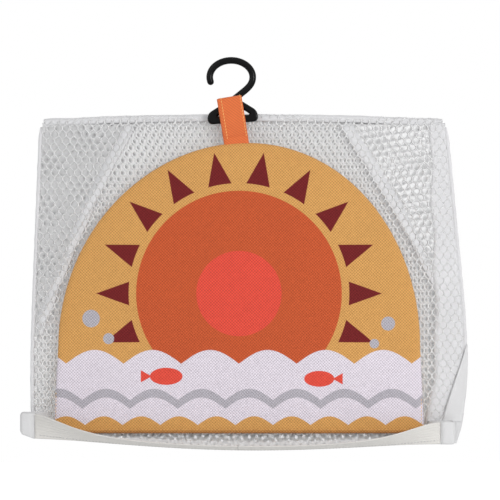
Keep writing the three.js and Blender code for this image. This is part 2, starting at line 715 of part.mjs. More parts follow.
// The front net leaves the band's sewn edge, turns under the panel and rises behind it.
// Each row is a share of the way from the band back to the front wall, and of the way up
// from the band's edge to the wall's foot.
const turnRouteShares = [[0, 0.02], [0.2, -0.02], [0.45, 0.05], [0.75, 0.25], [0.95, 0.6], [1, 1]];

function makeFrontNetTurn() {
  const near = BAND_THICKNESS / 2 + SEWN_GAP + NET_THICKNESS / 2 - BAND_FORWARD;
  const foot = foldLineZ + FRONT_WALL_FOOT - SEWN_GAP;
  const first = (BAND_END_OVERLAP + SEWN_GAP * 2) / (BAND_LEFT_REACH + BAND_RIGHT_REACH);
  const sections = [];
  for (let i = 0; i <= TURN_STATIONS; i += 1) {
    const { x, z } = bandStation(THREE.MathUtils.lerp(first, 1 - first, i / TURN_STATIONS));
    const route = turnRouteShares.map(([back, up]) => (
      new THREE.Vector2(THREE.MathUtils.lerp(near, frontWallDepth, back), THREE.MathUtils.lerp(z, foot, up))
    ));
    const section = stripOutline(route, NET_THICKNESS);
    sections.push(section.map((point) => new THREE.Vector3(x, point.x, point.y)));
  }
  return makeMesh('front_net_turn', loft(sections), 'net');
}

const hanger = new THREE.Group();
hanger.add(makeHangerHook());

const strap = new THREE.Group();
strap.add(makeHangingStrap());

const panel = new THREE.Group();
panel.position.set(PANEL_SIDESTEP, 0, panelBottomZ);
panel.add(makeCover('face_cover_front', -1, FRONT_CROWN));
panel.add(makePadding());
panel.add(makeCover('face_cover_back', 1, BACK_CROWN));
panel.add(makeHemTape());
panel.add(makeStrapSewnEnd());

const backFootZ = foldLineZ + BACK_WALL_FOOT;
const frontFootZ = foldLineZ + FRONT_WALL_FOOT;
const bag = new THREE.Group();
bag.add(makeMesh('back_net_wall', netPlate(wallOutline(backFootZ), BACK_WALL_DEPTH), 'net'));
bag.add(makeMesh('front_net_wall', netPlate(wallOutline(frontFootZ), frontWallDepth), 'net'));
for (const [word, side, width] of [['left', -1, GUSSET_LEFT_WIDTH], ['right', 1, GUSSET_RIGHT_WIDTH]]) {
  const outline = leafOutline(side, width);
  bag.add(makeMesh(`gusset_${word}_inner_leaf`, netPlate(outline, innerLeafDepth), 'net'));
  bag.add(makeMesh(`gusset_${word}_outer_leaf`, netPlate(outline, outerLeafDepth), 'net'));
  bag.add(makeGussetFold(`gusset_${word}_fold`, side, width));
  bag.add(makeSideSeam(`side_seam_${word}_back`, side, BACK_WALL_DEPTH, innerLeafDepth, backFootZ));
  bag.add(makeSideSeam(`side_seam_${word}_front`, side, outerLeafDepth, frontWallDepth, frontFootZ));
}
bag.add(makeBottomFold());
bag.add(makeSideTape());

const mouth = new THREE.Group();
mouth.add(makeMouthBand());
mouth.add(makeBandEnd('band_end_left', -1, BAND_LEFT_REACH, BAND_LEFT_DROP));
mouth.add(makeBandEnd('band_end_right', 1, BAND_RIGHT_REACH, BAND_RIGHT_DROP));
mouth.add(makeFrontNetTurn());

const organizer = new THREE.Group();
organizer.add(hanger, strap, panel, bag, mouth);

export default organizer;
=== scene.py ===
"""Bath toy organizer: a padded dome panel on a hook and a tape loop, with a net bag folded behind it.

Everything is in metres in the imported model's own frame: +Z is up as it hangs and the front looks
along -Y. Sizes are written in millimetres times MM.
"""
import json
import logging
import math
from dataclasses import dataclass, field, replace
from enum import Enum
from functools import cache, partial
from typing import Any, Callable

import bmesh
import bpy
import numpy as np
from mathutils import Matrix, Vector
from mathutils.bvhtree import BVHTree


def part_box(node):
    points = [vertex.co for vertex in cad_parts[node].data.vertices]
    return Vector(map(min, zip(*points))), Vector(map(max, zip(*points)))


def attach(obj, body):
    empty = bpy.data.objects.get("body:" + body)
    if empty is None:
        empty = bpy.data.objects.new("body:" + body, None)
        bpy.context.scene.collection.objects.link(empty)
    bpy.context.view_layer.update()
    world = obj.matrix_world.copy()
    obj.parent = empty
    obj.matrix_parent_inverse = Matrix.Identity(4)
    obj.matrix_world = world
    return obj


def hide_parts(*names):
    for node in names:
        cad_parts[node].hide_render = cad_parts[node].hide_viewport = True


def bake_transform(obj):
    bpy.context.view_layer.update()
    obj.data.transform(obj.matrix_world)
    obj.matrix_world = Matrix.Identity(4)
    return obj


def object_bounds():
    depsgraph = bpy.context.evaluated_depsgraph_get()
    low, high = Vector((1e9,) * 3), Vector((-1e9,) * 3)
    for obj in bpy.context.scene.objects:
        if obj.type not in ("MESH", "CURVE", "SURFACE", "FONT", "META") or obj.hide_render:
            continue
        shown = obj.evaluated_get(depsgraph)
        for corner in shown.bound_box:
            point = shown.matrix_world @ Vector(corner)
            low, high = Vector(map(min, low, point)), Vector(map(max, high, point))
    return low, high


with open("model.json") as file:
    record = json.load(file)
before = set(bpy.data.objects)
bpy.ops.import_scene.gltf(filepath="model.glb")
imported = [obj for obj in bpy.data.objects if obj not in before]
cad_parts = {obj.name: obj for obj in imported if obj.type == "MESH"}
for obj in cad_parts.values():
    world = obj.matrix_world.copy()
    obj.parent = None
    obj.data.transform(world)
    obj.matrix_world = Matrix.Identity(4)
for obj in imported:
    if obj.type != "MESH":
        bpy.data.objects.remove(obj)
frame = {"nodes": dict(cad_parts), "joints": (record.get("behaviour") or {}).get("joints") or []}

LOG = logging.getLogger("bath_toy_organizer")
MM = 0.001
CAD_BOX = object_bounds()

Array = np.ndarray
Piece = bpy.types.Object
Material = bpy.types.Material
NodeTree = bpy.types.NodeTree
Socket = bpy.types.NodeSocket
Inputs = dict[str | int, Any]
Colour = tuple[float, float, float, float]
Curve = Callable[[Array], Array]
Place = Callable[[Array, Array], Array]
Fit = Callable[[Array, Array], tuple[Array, Array]]
Pair = tuple[float, float]
Triple = tuple[float, float, float]
Span = tuple[float, float, float, float]


def srgb(*channels: float) -> Colour:
    """The linear colour that a shader takes, from a screen colour's channels of 0 to 255."""
    shares = (channel / 255 for channel in channels)
    return tuple(v / 12.92 if v <= 0.04045 else ((v + 0.055) / 1.055) ** 2.4 for v in shares) + (1.0,)


class Pen:
    """Writes nodes into one tree and links them."""

    surface: Socket

    def __init__(self, tree: NodeTree) -> None:
        """Keeps the tree to write in."""
        self.tree = tree

    def feed(self, socket: Socket, value: Any) -> None:
        """Links a socket to another socket, or sets its value."""
        if isinstance(value, Socket):
            self.tree.links.new(value, socket)
        else:
            socket.default_value = value

    def fill(self, node: bpy.types.Node, inputs: Inputs) -> None:
        """Feeds a node's inputs, each found by its name or number."""
        for key, value in inputs.items():
            self.feed(node.inputs[key], value)

    def node(self, kind: str, inputs: Inputs | None = None, **settings: Any) -> bpy.types.Node:
        """Adds one node.

        Args:
            kind: The node's type name.
            inputs: Values or sockets by the input's name or number.
            **settings: The node's own properties.

        Returns:
            The new node.
        """
        made = self.tree.nodes.new(kind)
        for key, value in settings.items():
            setattr(made, key, value)
        self.fill(made, inputs or {})
        return made

    def out(self, key: str, kind: str, inputs: Inputs | None = None, **settings: Any) -> Socket:
        """Adds one node, as node() does, and returns the output that key names."""
        return self.node(kind, inputs, **settings).outputs[key]

    def math(self, operation: str, *values: Any) -> Socket:
        """Adds one Math node.

        Args:
            operation: The node's operation.
            *values: Its numbers or sockets, in order.

        Returns:
            The result.
        """
        return self.node("ShaderNodeMath", dict(enumerate(values)), operation=operation).outputs[0]

    def times(self, first: Any, second: Any) -> Socket:
        """The product of two numbers."""
        return self.math("MULTIPLY", first, second)

    def minus(self, first: Any, second: Any) -> Socket:
        """The first number less the second."""
        return self.math("SUBTRACT", first, second)

    def times_plus(self, first: Any, second: Any, third: Any) -> Socket:
        """The product of the first two numbers, plus the third."""
        return self.math("MULTIPLY_ADD", first, second, third)

    def mix(self, factor: Any, first: Any, second: Any, blend: str = "MIX") -> Socket:
        """Mixes two colours.

        Args:
            factor: How much of the second there is.
            first: The first colour.
            second: The second colour.
            blend: How they are mixed.

        Returns:
            The mixed colour.
        """
        return self.node("ShaderNodeMix", {0: factor, 6: first, 7: second}, data_type="RGBA",
                         blend_type=blend).outputs[2]

    def noise(self, vector: Socket, scale: Any, detail: float) -> Socket:
        """Adds one Noise Texture and returns its value."""
        return self.out("Fac", "ShaderNodeTexNoise", {"Vector": vector, "Scale": scale, "Detail": detail})

    def shaded(self, colour: Any, level: Socket) -> Socket:
        """Multiplies a colour by a level."""
        grey = self.out("Color", "ShaderNodeCombineColor", {"Red": level, "Green": level, "Blue": level})
        return self.mix(1.0, colour, grey, "MULTIPLY")

    def bump(self, shader: bpy.types.Node, height: Socket, distance: float, strength: float = 1.0) -> None:
        """Gives a shader a bump of a real height."""
        self.feed(shader.inputs["Normal"], self.out("Normal", "ShaderNodeBump", {
            "Height": height, "Distance": distance, "Strength": strength}))

    def dressed(self, geometry: Socket, material: Socket) -> Socket:
        """Shades geometry smooth and gives it a material."""
        smooth = self.out("Geometry", "GeometryNodeSetShadeSmooth", {"Geometry": geometry})
        return self.out("Geometry", "GeometryNodeSetMaterial", {"Geometry": smooth, "Material": material})


def open_group(name: str, kind: str, inputs: list[tuple], outputs: list[tuple]) -> tuple:
    """Starts a node group with named inputs and outputs.

    Args:
        name: The group's name.
        kind: The tree's type.
        inputs: Rows of a name, a kind of socket and a default or None.
        outputs: Rows of a name and a kind of socket.

    Returns:
        The pen, the group's given sockets and the sockets that take its results.
    """
    tree = bpy.data.node_groups.new(name, kind)
    for label, sort, default in inputs:
        socket = tree.interface.new_socket(name=label, in_out="INPUT", socket_type=f"NodeSocket{sort}")
        if default is not None:
            socket.default_value = default
    for label, sort in outputs:
        tree.interface.new_socket(name=label, in_out="OUTPUT", socket_type=f"NodeSocket{sort}")
    pen = Pen(tree)
    return pen, pen.node("NodeGroupInput").outputs, pen.node("NodeGroupOutput").inputs


@cache
def woven_threads_group() -> NodeTree:
    """Builds the weave: crossing threads with some slub.

    Returns:
        The shader group. Its outputs are Height, Shade and Drift, each from 0 to 1.
    """
    pen, given, result = open_group(
        "WovenThreads", "ShaderNodeTree",
        [("Vector", "Vector", None), ("Pitch", "Float", 1.6 * MM),
         ("Twill", "Float", 0.0), ("Slub", "Float", 0.3)],
        [("Height", "Float"), ("Shade", "Float"), ("Drift", "Float")])
    place = pen.node("ShaderNodeSeparateXYZ", {"Vector": given["Vector"]})
    turns = pen.math("DIVIDE", 2 * math.pi, given["Pitch"])
    across = pen.times(place.outputs["X"], turns)
    along = pen.times(place.outputs["Y"], turns)
    plain = pen.times(pen.math("SINE", across), pen.math("SINE", along))
    rib = pen.math("SINE", pen.math("ADD", across, along))
    kept = pen.times(plain, pen.minus(1.0, given["Twill"]))
    weave = pen.times_plus(rib, given["Twill"], kept)
    fine = pen.noise(given["Vector"], pen.math("DIVIDE", 0.6, given["Pitch"]), 2.0)
    slub = pen.times(pen.minus(fine, 0.5), given["Slub"])
    height = pen.math("ADD", pen.times_plus(weave, 0.5, 0.5), slub)
    pen.feed(result["Height"], height)
    pen.feed(result["Shade"], pen.math("POWER", pen.math("MAXIMUM", height, 0.0), 0.7))
    pen.feed(result["Drift"], pen.noise(given["Vector"], 22.0, 3.0))
    return pen.tree


class PrintPen(Pen):
    """Draws flat shapes for the panel's print, in millimetres from the middle of its lower edge."""

    EDGE = 0.5

    def __init__(self, tree: NodeTree, x: Socket, z: Socket) -> None:
        """Keeps the tree and the place's two coordinates."""
        super().__init__(tree)
        self.x, self.z = x, z

    def inside(self, reach: Any) -> Socket:
        """A mask that is 1 where reach, in millimetres, is above zero."""
        return self.node("ShaderNodeMath", {0: reach, 1: 1 / self.EDGE, 2: 0.5},
                         operation="MULTIPLY_ADD", use_clamp=True).outputs[0]

    def distance(self, x: float, z: float, flatten: float = 1.0) -> Socket:
        """Measures the distance to a point.

        Args:
            x: The point, from side to side.
            z: The point's height.
            flatten: How many times heights count.

        Returns:
            The distance.
        """
        across = self.minus(self.x, x)
        up = self.times(self.minus(self.z, z), flatten)
        return self.math("SQRT", self.times_plus(across, across, self.times(up, up)))

    def disc(self, x: float, z: float, radius: float, flatten: float = 1.0) -> Socket:
        """A disc's mask, or an oval's."""
        return self.inside(self.minus(radius, self.distance(x, z, flatten)))

    def scallops(self, level: float, rise: float, length: float, shift: float) -> Socket:
        """Masks all that lies under a row of scallops.

        Args:
            level: The row's lowest height.
            rise: How high its crests stand.
            length: One scallop's length.
            shift: Where the first one starts, as an angle.

        Returns:
            The mask.
        """
        phase = self.times_plus(self.x, math.pi / length, shift)
        crest = self.times_plus(self.math("ABSOLUTE", self.math("SINE", phase)), rise, level)
        return self.inside(self.minus(crest, self.z))

    def rays(self, z: float, count: int, inner: float, outer: float, width: float, turn: float) -> Socket:
        """Masks pointed rays round a middle.

        Args:
            z: The middle's height.
            count: How many rays there are.
            inner: How far out they start.
            outer: How far out they end.
            width: One ray's width at its foot.
            turn: Where the first one lies, as a share of one step.

        Returns:
            The mask.
        """
        up = self.minus(self.z, z)
        angle = self.math("ARCTAN2", up, self.x)
        share = self.times_plus(angle, count / (2 * math.pi), turn)
        off = self.math("ABSOLUTE", self.minus(self.math("FRACT", share), 0.5))
        far = self.distance(0.0, z)
        side = self.times(self.times(off, far), 2 * math.pi / count)
        taper = self.times(self.minus(outer, far), width / (2 * (outer - inner)))
        body = self.inside(self.minus(taper, side))
        return self.times(body, self.inside(self.minus(far, inner)))

    def fish(self, x: float, z: float, length: float, way: int) -> Socket:
        """Masks a plain fish: an oval with a fan for a tail.

        Args:
            x: The oval's middle, from side to side.
            z: Its height.
            length: The oval's length.
            way: 1 or -1, the way that it swims.

        Returns:
            The mask.
        """
        body = self.disc(x, z, length / 2, 1.9)
        tail_x = x - way * length * 0.78
        across = self.times(self.minus(self.x, tail_x), float(way))
        spread = self.minus(length * 0.34, across)
        up = self.math("ABSOLUTE", self.minus(self.z, z))
        fan = self.inside(self.minus(self.times(spread, 0.55), up))
        ends = self.times(self.inside(across), self.inside(spread))
        return self.math("MAXIMUM", body, self.times(fan, ends))


@cache
def sun_and_waves_group() -> NodeTree:
    """Builds the panel's print: a sun with rays over scalloped waves, fish and bubbles, with painted shade
    that darkens it towards the lower edge.

    Returns:
        The shader group, from a place in metres to a colour.
    """
    pen, given, result = open_group(
        "SunAndWaves", "ShaderNodeTree",
        [("Vector", "Vector", None), ("Ground", "Color", srgb(210, 156, 89)),
         ("Sun", "Color", srgb(196, 86, 46)), ("Ray", "Color", srgb(112, 26, 28)),
         ("Wave", "Color", srgb(222, 214, 224)), ("Coral", "Color", srgb(224, 78, 62)),
         ("Pebble", "Color", srgb(178, 174, 182))],
        [("Colour", "Color")])
    place = pen.node("ShaderNodeSeparateXYZ", {"Vector": given["Vector"]})
    x, z = (pen.math("DIVIDE", place.outputs[axis], MM) for axis in ("X", "Y"))
    draw = PrintPen(pen.tree, x, z)
    colour = given["Ground"]
    layers = [("Ray", draw.rays, 112.0, 18, 88.0, 114.0, 19.0, 0.5), ("Sun", draw.disc, 0.0, 112.0, 82.0),
              ("Coral", draw.disc, 0.0, 112.0, 34.0), ("Pebble", draw.disc, -118.0, 92.0, 7.0),
              ("Pebble", draw.disc, -104.0, 76.0, 4.4), ("Pebble", draw.disc, 119.0, 88.0, 5.6),
              ("Pebble", draw.disc, 108.0, 72.0, 3.8), ("Wave", draw.scallops, 56.0, 11.0, 46.0, 0.0),
              ("Coral", draw.fish, -58.0, 46.0, 26.0, 1), ("Coral", draw.fish, 64.0, 44.0, 24.0, -1),
              ("Pebble", draw.scallops, 27.0, 9.0, 38.0, 0.9),
              ("Wave", draw.scallops, 20.0, 9.0, 38.0, 0.9), ("Ground", draw.scallops, 7.0, 7.0, 30.0, 0.3)]
    for paint, shape, *sizes in layers:
        colour = pen.mix(shape(*sizes), colour, given[paint])
    # Painted shade: the colour is darkened towards brown over the lowest 6 mm, standing in for the shade of
    # the panel's rounded lower edge.
    hem = pen.math("POWER", pen.math("MAXIMUM", pen.times_plus(z, -1 / 6.0, 1.0), 0.0), 1.6)
    colour = pen.mix(pen.times(hem, 0.55), colour, srgb(150, 74, 28))
    pen.feed(result["Colour"], colour)
    return pen.tree


class Grain(Enum):
    """Which two coordinates a cloth's threads follow."""

    UPRIGHT = "upright"
    MAPPED = "mapped"


def start_material(name: str) -> tuple[Material, Pen, bpy.types.Node]:
    """Starts a material with one Principled shader.

    Args:
        name: The material's name.

    Returns:
        The material, its pen and its shader node.
    """
    material = bpy.data.materials.new(name)
    material.use_nodes = True
    material.node_tree.nodes.clear()
    pen = Pen(material.node_tree)
    shader = pen.node("ShaderNodeBsdfPrincipled")
    pen.surface = pen.node("ShaderNodeOutputMaterial").inputs["Surface"]
    pen.feed(pen.surface, shader.outputs["BSDF"])
    return material, pen, shader


@dataclass(frozen=True)
class WovenFinish:
    """A woven cloth or tape."""

    name: str
    colour: Colour
    pitch: float
    twill: float = 0.0
    slub: float = 0.3
    depth: float = 0.12 * MM
    contrast: float = 0.35
    drift: float = 0.12
    roughness: float = 0.85
    sheen: float = 0.15
    gloss: float = 0.25
    grain: Grain = Grain.UPRIGHT
    printed: bool = False
    middle: Pair = (0.0, 0.0)

    def build(self) -> Material:
        """Builds the material.

        Returns:
            The material.
        """
        material, pen, shader = start_material(self.name)
        vector = pen.out("UV" if self.grain is Grain.MAPPED else "Object", "ShaderNodeTexCoord")
        if self.grain is Grain.UPRIGHT:
            place = pen.node("ShaderNodeSeparateXYZ", {"Vector": vector}).outputs
            vector = pen.out("Vector", "ShaderNodeCombineXYZ", {
                "X": pen.minus(place["X"], self.middle[0]),
                "Y": pen.minus(place["Z"], self.middle[1])})
        weave = pen.node("ShaderNodeGroup", node_tree=woven_threads_group())
        pen.fill(weave, {"Vector": vector, "Pitch": self.pitch, "Twill": self.twill, "Slub": self.slub})
        shade, drift, height = (weave.outputs[key] for key in ("Shade", "Drift", "Height"))
        colour: Any = self.colour
        if self.printed:
            design = pen.node("ShaderNodeGroup", node_tree=sun_and_waves_group())
            pen.feed(design.inputs["Vector"], vector)
            colour = design.outputs["Colour"]
        light = pen.times_plus(shade, self.contrast, 1 - self.contrast * 0.6)
        cloud = pen.times_plus(drift, self.drift, 1 - self.drift / 2)
        pen.fill(shader, {
            "Base Color": pen.shaded(colour, pen.times(light, cloud)),
            "Roughness": pen.times_plus(drift, 0.1, self.roughness - 0.05),
            "Sheen Weight": self.sheen, "Specular IOR Level": self.gloss})
        pen.bump(shader, height, self.depth)
        return material


@dataclass(frozen=True)
class PlasticFinish:
    """A moulded plastic."""

    name: str
    colour: Colour
    roughness: float = 0.2
    gloss: float = 0.12
    cloud_scale: float = 160.0
    grain_scale: float = 2400.0
    grain_depth: float = 0.02 * MM

    def build(self) -> Material:
        """Builds the material.

        Returns:
            The material.
        """
        material, pen, shader = start_material(self.name)
        spot = pen.out("Object", "ShaderNodeTexCoord")
        cloud = pen.noise(spot, self.cloud_scale, 4.0)
        lighter = tuple(min(1.0, channel * 1.6) for channel in self.colour[:3]) + (1.0,)
        pen.fill(shader, {
            "Base Color": pen.mix(cloud, self.colour, lighter),
            "Roughness": pen.times_plus(cloud, 0.16, self.roughness - 0.08),
            "Specular IOR Level": self.gloss})
        pen.bump(shader, pen.noise(spot, self.grain_scale, 2.0), self.grain_depth, 0.6)
        return material


@dataclass(frozen=True)
class YarnFinish:
    """The net's knitted yarn."""

    name: str
    colour: Colour
    twist: float = 0.7 * MM
    glow: float = 0.0
    sheen: float = 0.1
    glow_reach: float = 1.5 * MM
    fibre_depth: float = 0.1 * MM
    cloud_scale: float = 14.0

    def build(self) -> Material:
        """Builds the material.

        Returns:
            The material.
        """
        material, pen, shader = start_material(self.name)
        spot = pen.out("Object", "ShaderNodeTexCoord")
        fibres = pen.noise(spot, 1 / self.twist, 3.0)
        cloud = pen.noise(spot, self.cloud_scale, 2.0)
        level = pen.times(pen.times_plus(fibres, 0.16, 0.92), pen.times_plus(cloud, 0.1, 0.95))
        pen.fill(shader, {
            "Base Color": pen.shaded(self.colour, level),
            "Roughness": pen.times_plus(fibres, 0.2, 0.5),
            "Sheen Weight": self.sheen, "Subsurface Weight": self.glow,
            "Subsurface Radius": (1.0, 1.0, 1.0), "Subsurface Scale": self.glow_reach})
        pen.bump(shader, fibres, self.fibre_depth, 0.8)
        return material


def mesh_points(mesh: bpy.types.Mesh) -> Array:
    """Reads a mesh's points.

    Args:
        mesh: The mesh.

    Returns:
        Its points, one row each.
    """
    values = np.zeros(len(mesh.vertices) * 3, np.float32)
    mesh.vertices.foreach_get("co", values)
    return values.reshape(-1, 3).astype(float)


def corner_points(mesh: bpy.types.Mesh) -> Array:
    """Reads which point each face corner of a mesh is at.

    Args:
        mesh: The mesh.

    Returns:
        The point numbers, in the faces' order.
    """
    numbers = np.zeros(len(mesh.loops), np.int32)
    mesh.loops.foreach_get("vertex_index", numbers)
    return numbers


def points_of(node: str) -> Array:
    """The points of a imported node, in metres."""
    return mesh_points(frame["nodes"][node].data)


def joint_place(name: str) -> Vector:
    """The point that a joint turns about."""
    return Vector(next(joint["pos_m"] for joint in frame["joints"] if joint["name"] == name))


def add_object(name: str, data: bpy.types.ID) -> Piece:
    """Adds an object to the scene, at the origin.

    Args:
        name: Its name.
        data: The mesh, curve, lamp or camera that it shows.

    Returns:
        The new object.
    """
    made = bpy.data.objects.new(name, data)
    bpy.context.scene.collection.objects.link(made)
    return made


def evaluated_mesh(host: Piece) -> bpy.types.Mesh:
    """Copies the mesh that an object's curves or modifiers make."""
    bpy.context.view_layer.update()
    return bpy.data.meshes.new_from_object(host.evaluated_get(bpy.context.evaluated_depsgraph_get()))


def make_piece(name: str, points: Array, faces: Any, materials: list[Material],
               smooth: bool = True) -> Piece:
    """Makes a mesh object at the origin.

    Args:
        name: The piece's name.
        points: Its points, one row each.
        faces: Its faces, as rows of point numbers.
        materials: Its materials, in slot order.
        smooth: Whether its faces are shaded smooth.

    Returns:
        The new object.
    """
    mesh = bpy.data.meshes.new(name)
    mesh.from_pydata(np.asarray(points).tolist(), [], [list(map(int, face)) for face in faces])
    mesh.validate()
    mesh.shade_smooth() if smooth else mesh.shade_flat()
    for material in materials:
        mesh.materials.append(material)
    return add_object(name, mesh)


def loft(sections: Array) -> list[tuple[int, ...]]:
    """Faces that skin a row of closed sections and cap the ends.

    Args:
        sections: Points as sections by points by 3.

    Returns:
        The faces.
    """
    count, size = sections.shape[:2]
    faces = []
    for here in range(0, (count - 1) * size, size):
        for i in range(size):
            j = (i + 1) % size
            faces.append((here + i, here + j, here + size + j, here + size + i))
    faces.append(tuple(range(size - 1, -1, -1)))
    faces.append(tuple(range((count - 1) * size, count * size)))
    return faces


def face_outwards(piece: Piece) -> None:
    """Turns a closed mesh's faces so that they all point out.

    Args:
        piece: The object that shows the mesh.
    """
    sheet = bmesh.new()
    sheet.from_mesh(piece.data)
    bmesh.ops.recalc_face_normals(sheet, faces=sheet.faces)
    sheet.to_mesh(piece.data)
    sheet.free()


def skinned(name: str, sections: Array, material: Material) -> Piece:
    """Makes a closed piece that skins a row of closed sections.

    Args:
        name: The piece's name.
        sections: Points as sections by points by 3.
        material: Its material.

    Returns:
        The new object.
    """
    made = make_piece(name, sections.reshape(-1, 3), loft(sections), [material])
    face_outwards(made)
    return made


def two_faced(centres: Array, ways: list[Array], lifts: list[Array]) -> Array:
    """Closed sections of a tape: across it on one face and back on the other.

    Args:
        centres: The tape's line.
        ways: Steps across it, for each place of a section.
        lifts: Steps out to its face, for each of them.

    Returns:
        Points as sections by points by 3.
    """
    return np.stack([centres + way + side * lift for side in (1, -1)
                     for way, lift in zip(ways[::side], lifts[::side])], axis=1)


def doubled(front: Array, ply: float) -> Array:
    """Closed sections of a strip as thick as ply, from its front face's rows of points."""
    return np.concatenate([front, (front + [0, ply, 0])[:, ::-1]], axis=1)


def grid(x: Any, y: Any, z: Any) -> Array:
    """Rows of points, from coordinates that are given whole, by rows or by columns."""
    return np.dstack(np.broadcast_arrays(x, y, z))


def around(count: int) -> Array:
    """Angles that are evenly spaced round a circle."""
    return np.linspace(0, 2 * math.pi, count, endpoint=False)


def boxed(wave: Array) -> Array:
    """A sine or cosine with fuller crests, which squares a round section a little."""
    return np.sign(wave) * np.abs(wave) ** 0.8


def rounding(start: Any, corner: Any, end: Any, count: int) -> Array:
    """Points of a curve from a start to an end, which a corner draws near."""
    t = np.linspace(0, 1, count)[:, None]
    return (1 - t) ** 2 * np.array(start) + 2 * t * (1 - t) * np.array(corner) + t ** 2 * np.array(end)


def run_along(points: Array) -> Array:
    """The length of a line up to each of its points."""
    return np.concatenate([[0], np.cumsum(np.linalg.norm(np.diff(points, axis=0), axis=1))])


def line_length(points: Array) -> float:
    """A line's whole length."""
    return float(np.linalg.norm(np.diff(points, axis=0), axis=1).sum())


def evenly(points: Array, run: Array, count: int, endpoint: bool = True) -> Array:
    """Points that are evenly spaced along a line, whose run says how; the last may be left out."""
    at = np.linspace(0, run[-1], count, endpoint=endpoint)
    return np.column_stack([np.interp(at, run, column) for column in points.T])


def smooth_route(rows: Array, count: int) -> Array:
    """A smooth curve through points, evenly spaced along it.

    Args:
        rows: The points, one row each.
        count: How many points the curve gets.

    Returns:
        The curve's points.
    """
    ends = np.vstack([2 * rows[0] - rows[1], rows, 2 * rows[-1] - rows[-2]])
    t = np.linspace(0, 1, 40, endpoint=False)[:, None]
    dense = []
    for i in range(1, len(ends) - 2):
        before, a, b, after = ends[i - 1:i + 3]
        dense.append(0.5 * (2 * a + (b - before) * t + (2 * before - 5 * a + 4 * b - after) * t ** 2
                            + (3 * a - before - 3 * b + after) * t ** 3))
    dense = np.vstack(dense + [rows[-1:]])
    return evenly(dense, run_along(dense[:, 1:]), count)


def add_uv(piece: Piece, centres: Array, across: Array, width: float) -> None:
    """Gives a tape a UV map in metres: u across it and v along it.

    Args:
        piece: The tape, whose points are the sections in order.
        centres: The middle line.
        across: The widthwise directions.
        width: The tape's width.
    """
    points = mesh_points(piece.data).reshape(len(centres), -1, 3)
    u = np.einsum("ijk,ik->ij", points - centres[:, None], across) + width / 2
    corners = corner_points(piece.data)
    uv = np.column_stack([u.ravel()[corners], run_along(centres)[corners // points.shape[1]]])
    piece.data.uv_layers.new(name="cloth").data.foreach_set("uv", uv.ravel())


def grown(host: Piece, tree: NodeTree, values: dict[str, Any], name: str) -> Piece:
    """Runs a Geometry Nodes tree on a host and keeps only the result, as a plain mesh.

    Args:
        host: The object that carries the tree.
        tree: The Geometry Nodes tree.
        values: The tree's inputs by name.
        name: The new piece's name.

    Returns:
        The new object.
    """
    modifier = host.modifiers.new(tree.name, "NODES")
    modifier.node_group = tree
    sockets = {item.name: item.identifier for item in tree.interface.items_tree
               if item.item_type == "SOCKET" and item.in_out == "INPUT"}
    for key, value in values.items():
        modifier[sockets[key]] = value
    mesh = evaluated_mesh(host)
    mesh.name = name
    bpy.data.objects.remove(host)
    return add_object(name, mesh)


def trace(curve: bpy.types.Curve, route: Array, closed: bool = False) -> None:
    """Adds a line of straight steps to a curve.

    Args:
        curve: The curve.
        route: The line's points, in two or three coordinates.
        closed: Whether the line ends where it starts.
    """
    spline = curve.splines.new("POLY")
    spline.points.add(len(route) - 1)
    spline.points.foreach_set("co", np.pad(route, ((0, 0), (0, 4 - route.shape[1]))).ravel())
    spline.use_cyclic_u = closed


@dataclass(frozen=True)
class Stitch:
    """A row's stitches: from one to the next, one's length and the thread's thickness."""

    step: float
    length: float
    thickness: float


@cache
def stitch_tree() -> NodeTree:
    """Builds the tree that sews stitches along a curve.

    Returns:
        The Geometry Nodes tree.
    """
    pen, given, result = open_group(
        "SewnStitches", "GeometryNodeTree",
        [("Route", "Geometry", None), ("Step", "Float", 3.0 * MM),
         ("Length", "Float", 2.2 * MM), ("Thickness", "Float", 0.4 * MM),
         ("Thread", "Material", None)],
        [("Stitches", "Geometry")])
    resampled = pen.out("Curve", "GeometryNodeResampleCurve", {
        "Curve": given["Route"], "Length": given["Step"]}, mode="LENGTH")
    bead = pen.out("Mesh", "GeometryNodeMeshUVSphere", {"Segments": 6, "Rings": 4, "Radius": 0.5})
    size = pen.out("Vector", "ShaderNodeCombineXYZ", {
        "X": given["Length"], "Y": given["Thickness"], "Z": given["Thickness"]})
    shaped = pen.out("Geometry", "GeometryNodeTransform", {"Geometry": bead, "Scale": size})
    tangent = pen.out("Tangent", "GeometryNodeInputTangent")
    turned = pen.out("Rotation", "FunctionNodeAlignRotationToVector", {"Vector": tangent}, axis="X")
    placed = pen.out("Instances", "GeometryNodeInstanceOnPoints", {
        "Points": resampled, "Instance": shaped, "Rotation": turned})
    real = pen.out("Geometry", "GeometryNodeRealizeInstances", {"Geometry": placed})
    pen.feed(result["Stitches"], pen.dressed(real, given["Thread"]))
    return pen.tree


def sew(name: str, routes: list[Array], thread: Material, stitch: Stitch) -> Piece:
    """Sews rows of stitches.

    Args:
        name: The piece's name.
        routes: Each row's points.
        thread: The thread's material.
        stitch: The stitches' sizes.

    Returns:
        The stitches as one mesh.
    """
    curve = bpy.data.curves.new(f"{name}_route", "CURVE")
    curve.dimensions = "3D"
    for route in routes:
        trace(curve, route)
    return grown(add_object(f"{name}_host", curve), stitch_tree(), {
        "Step": stitch.step, "Length": stitch.length, "Thickness": stitch.thickness,
        "Thread": thread}, name)


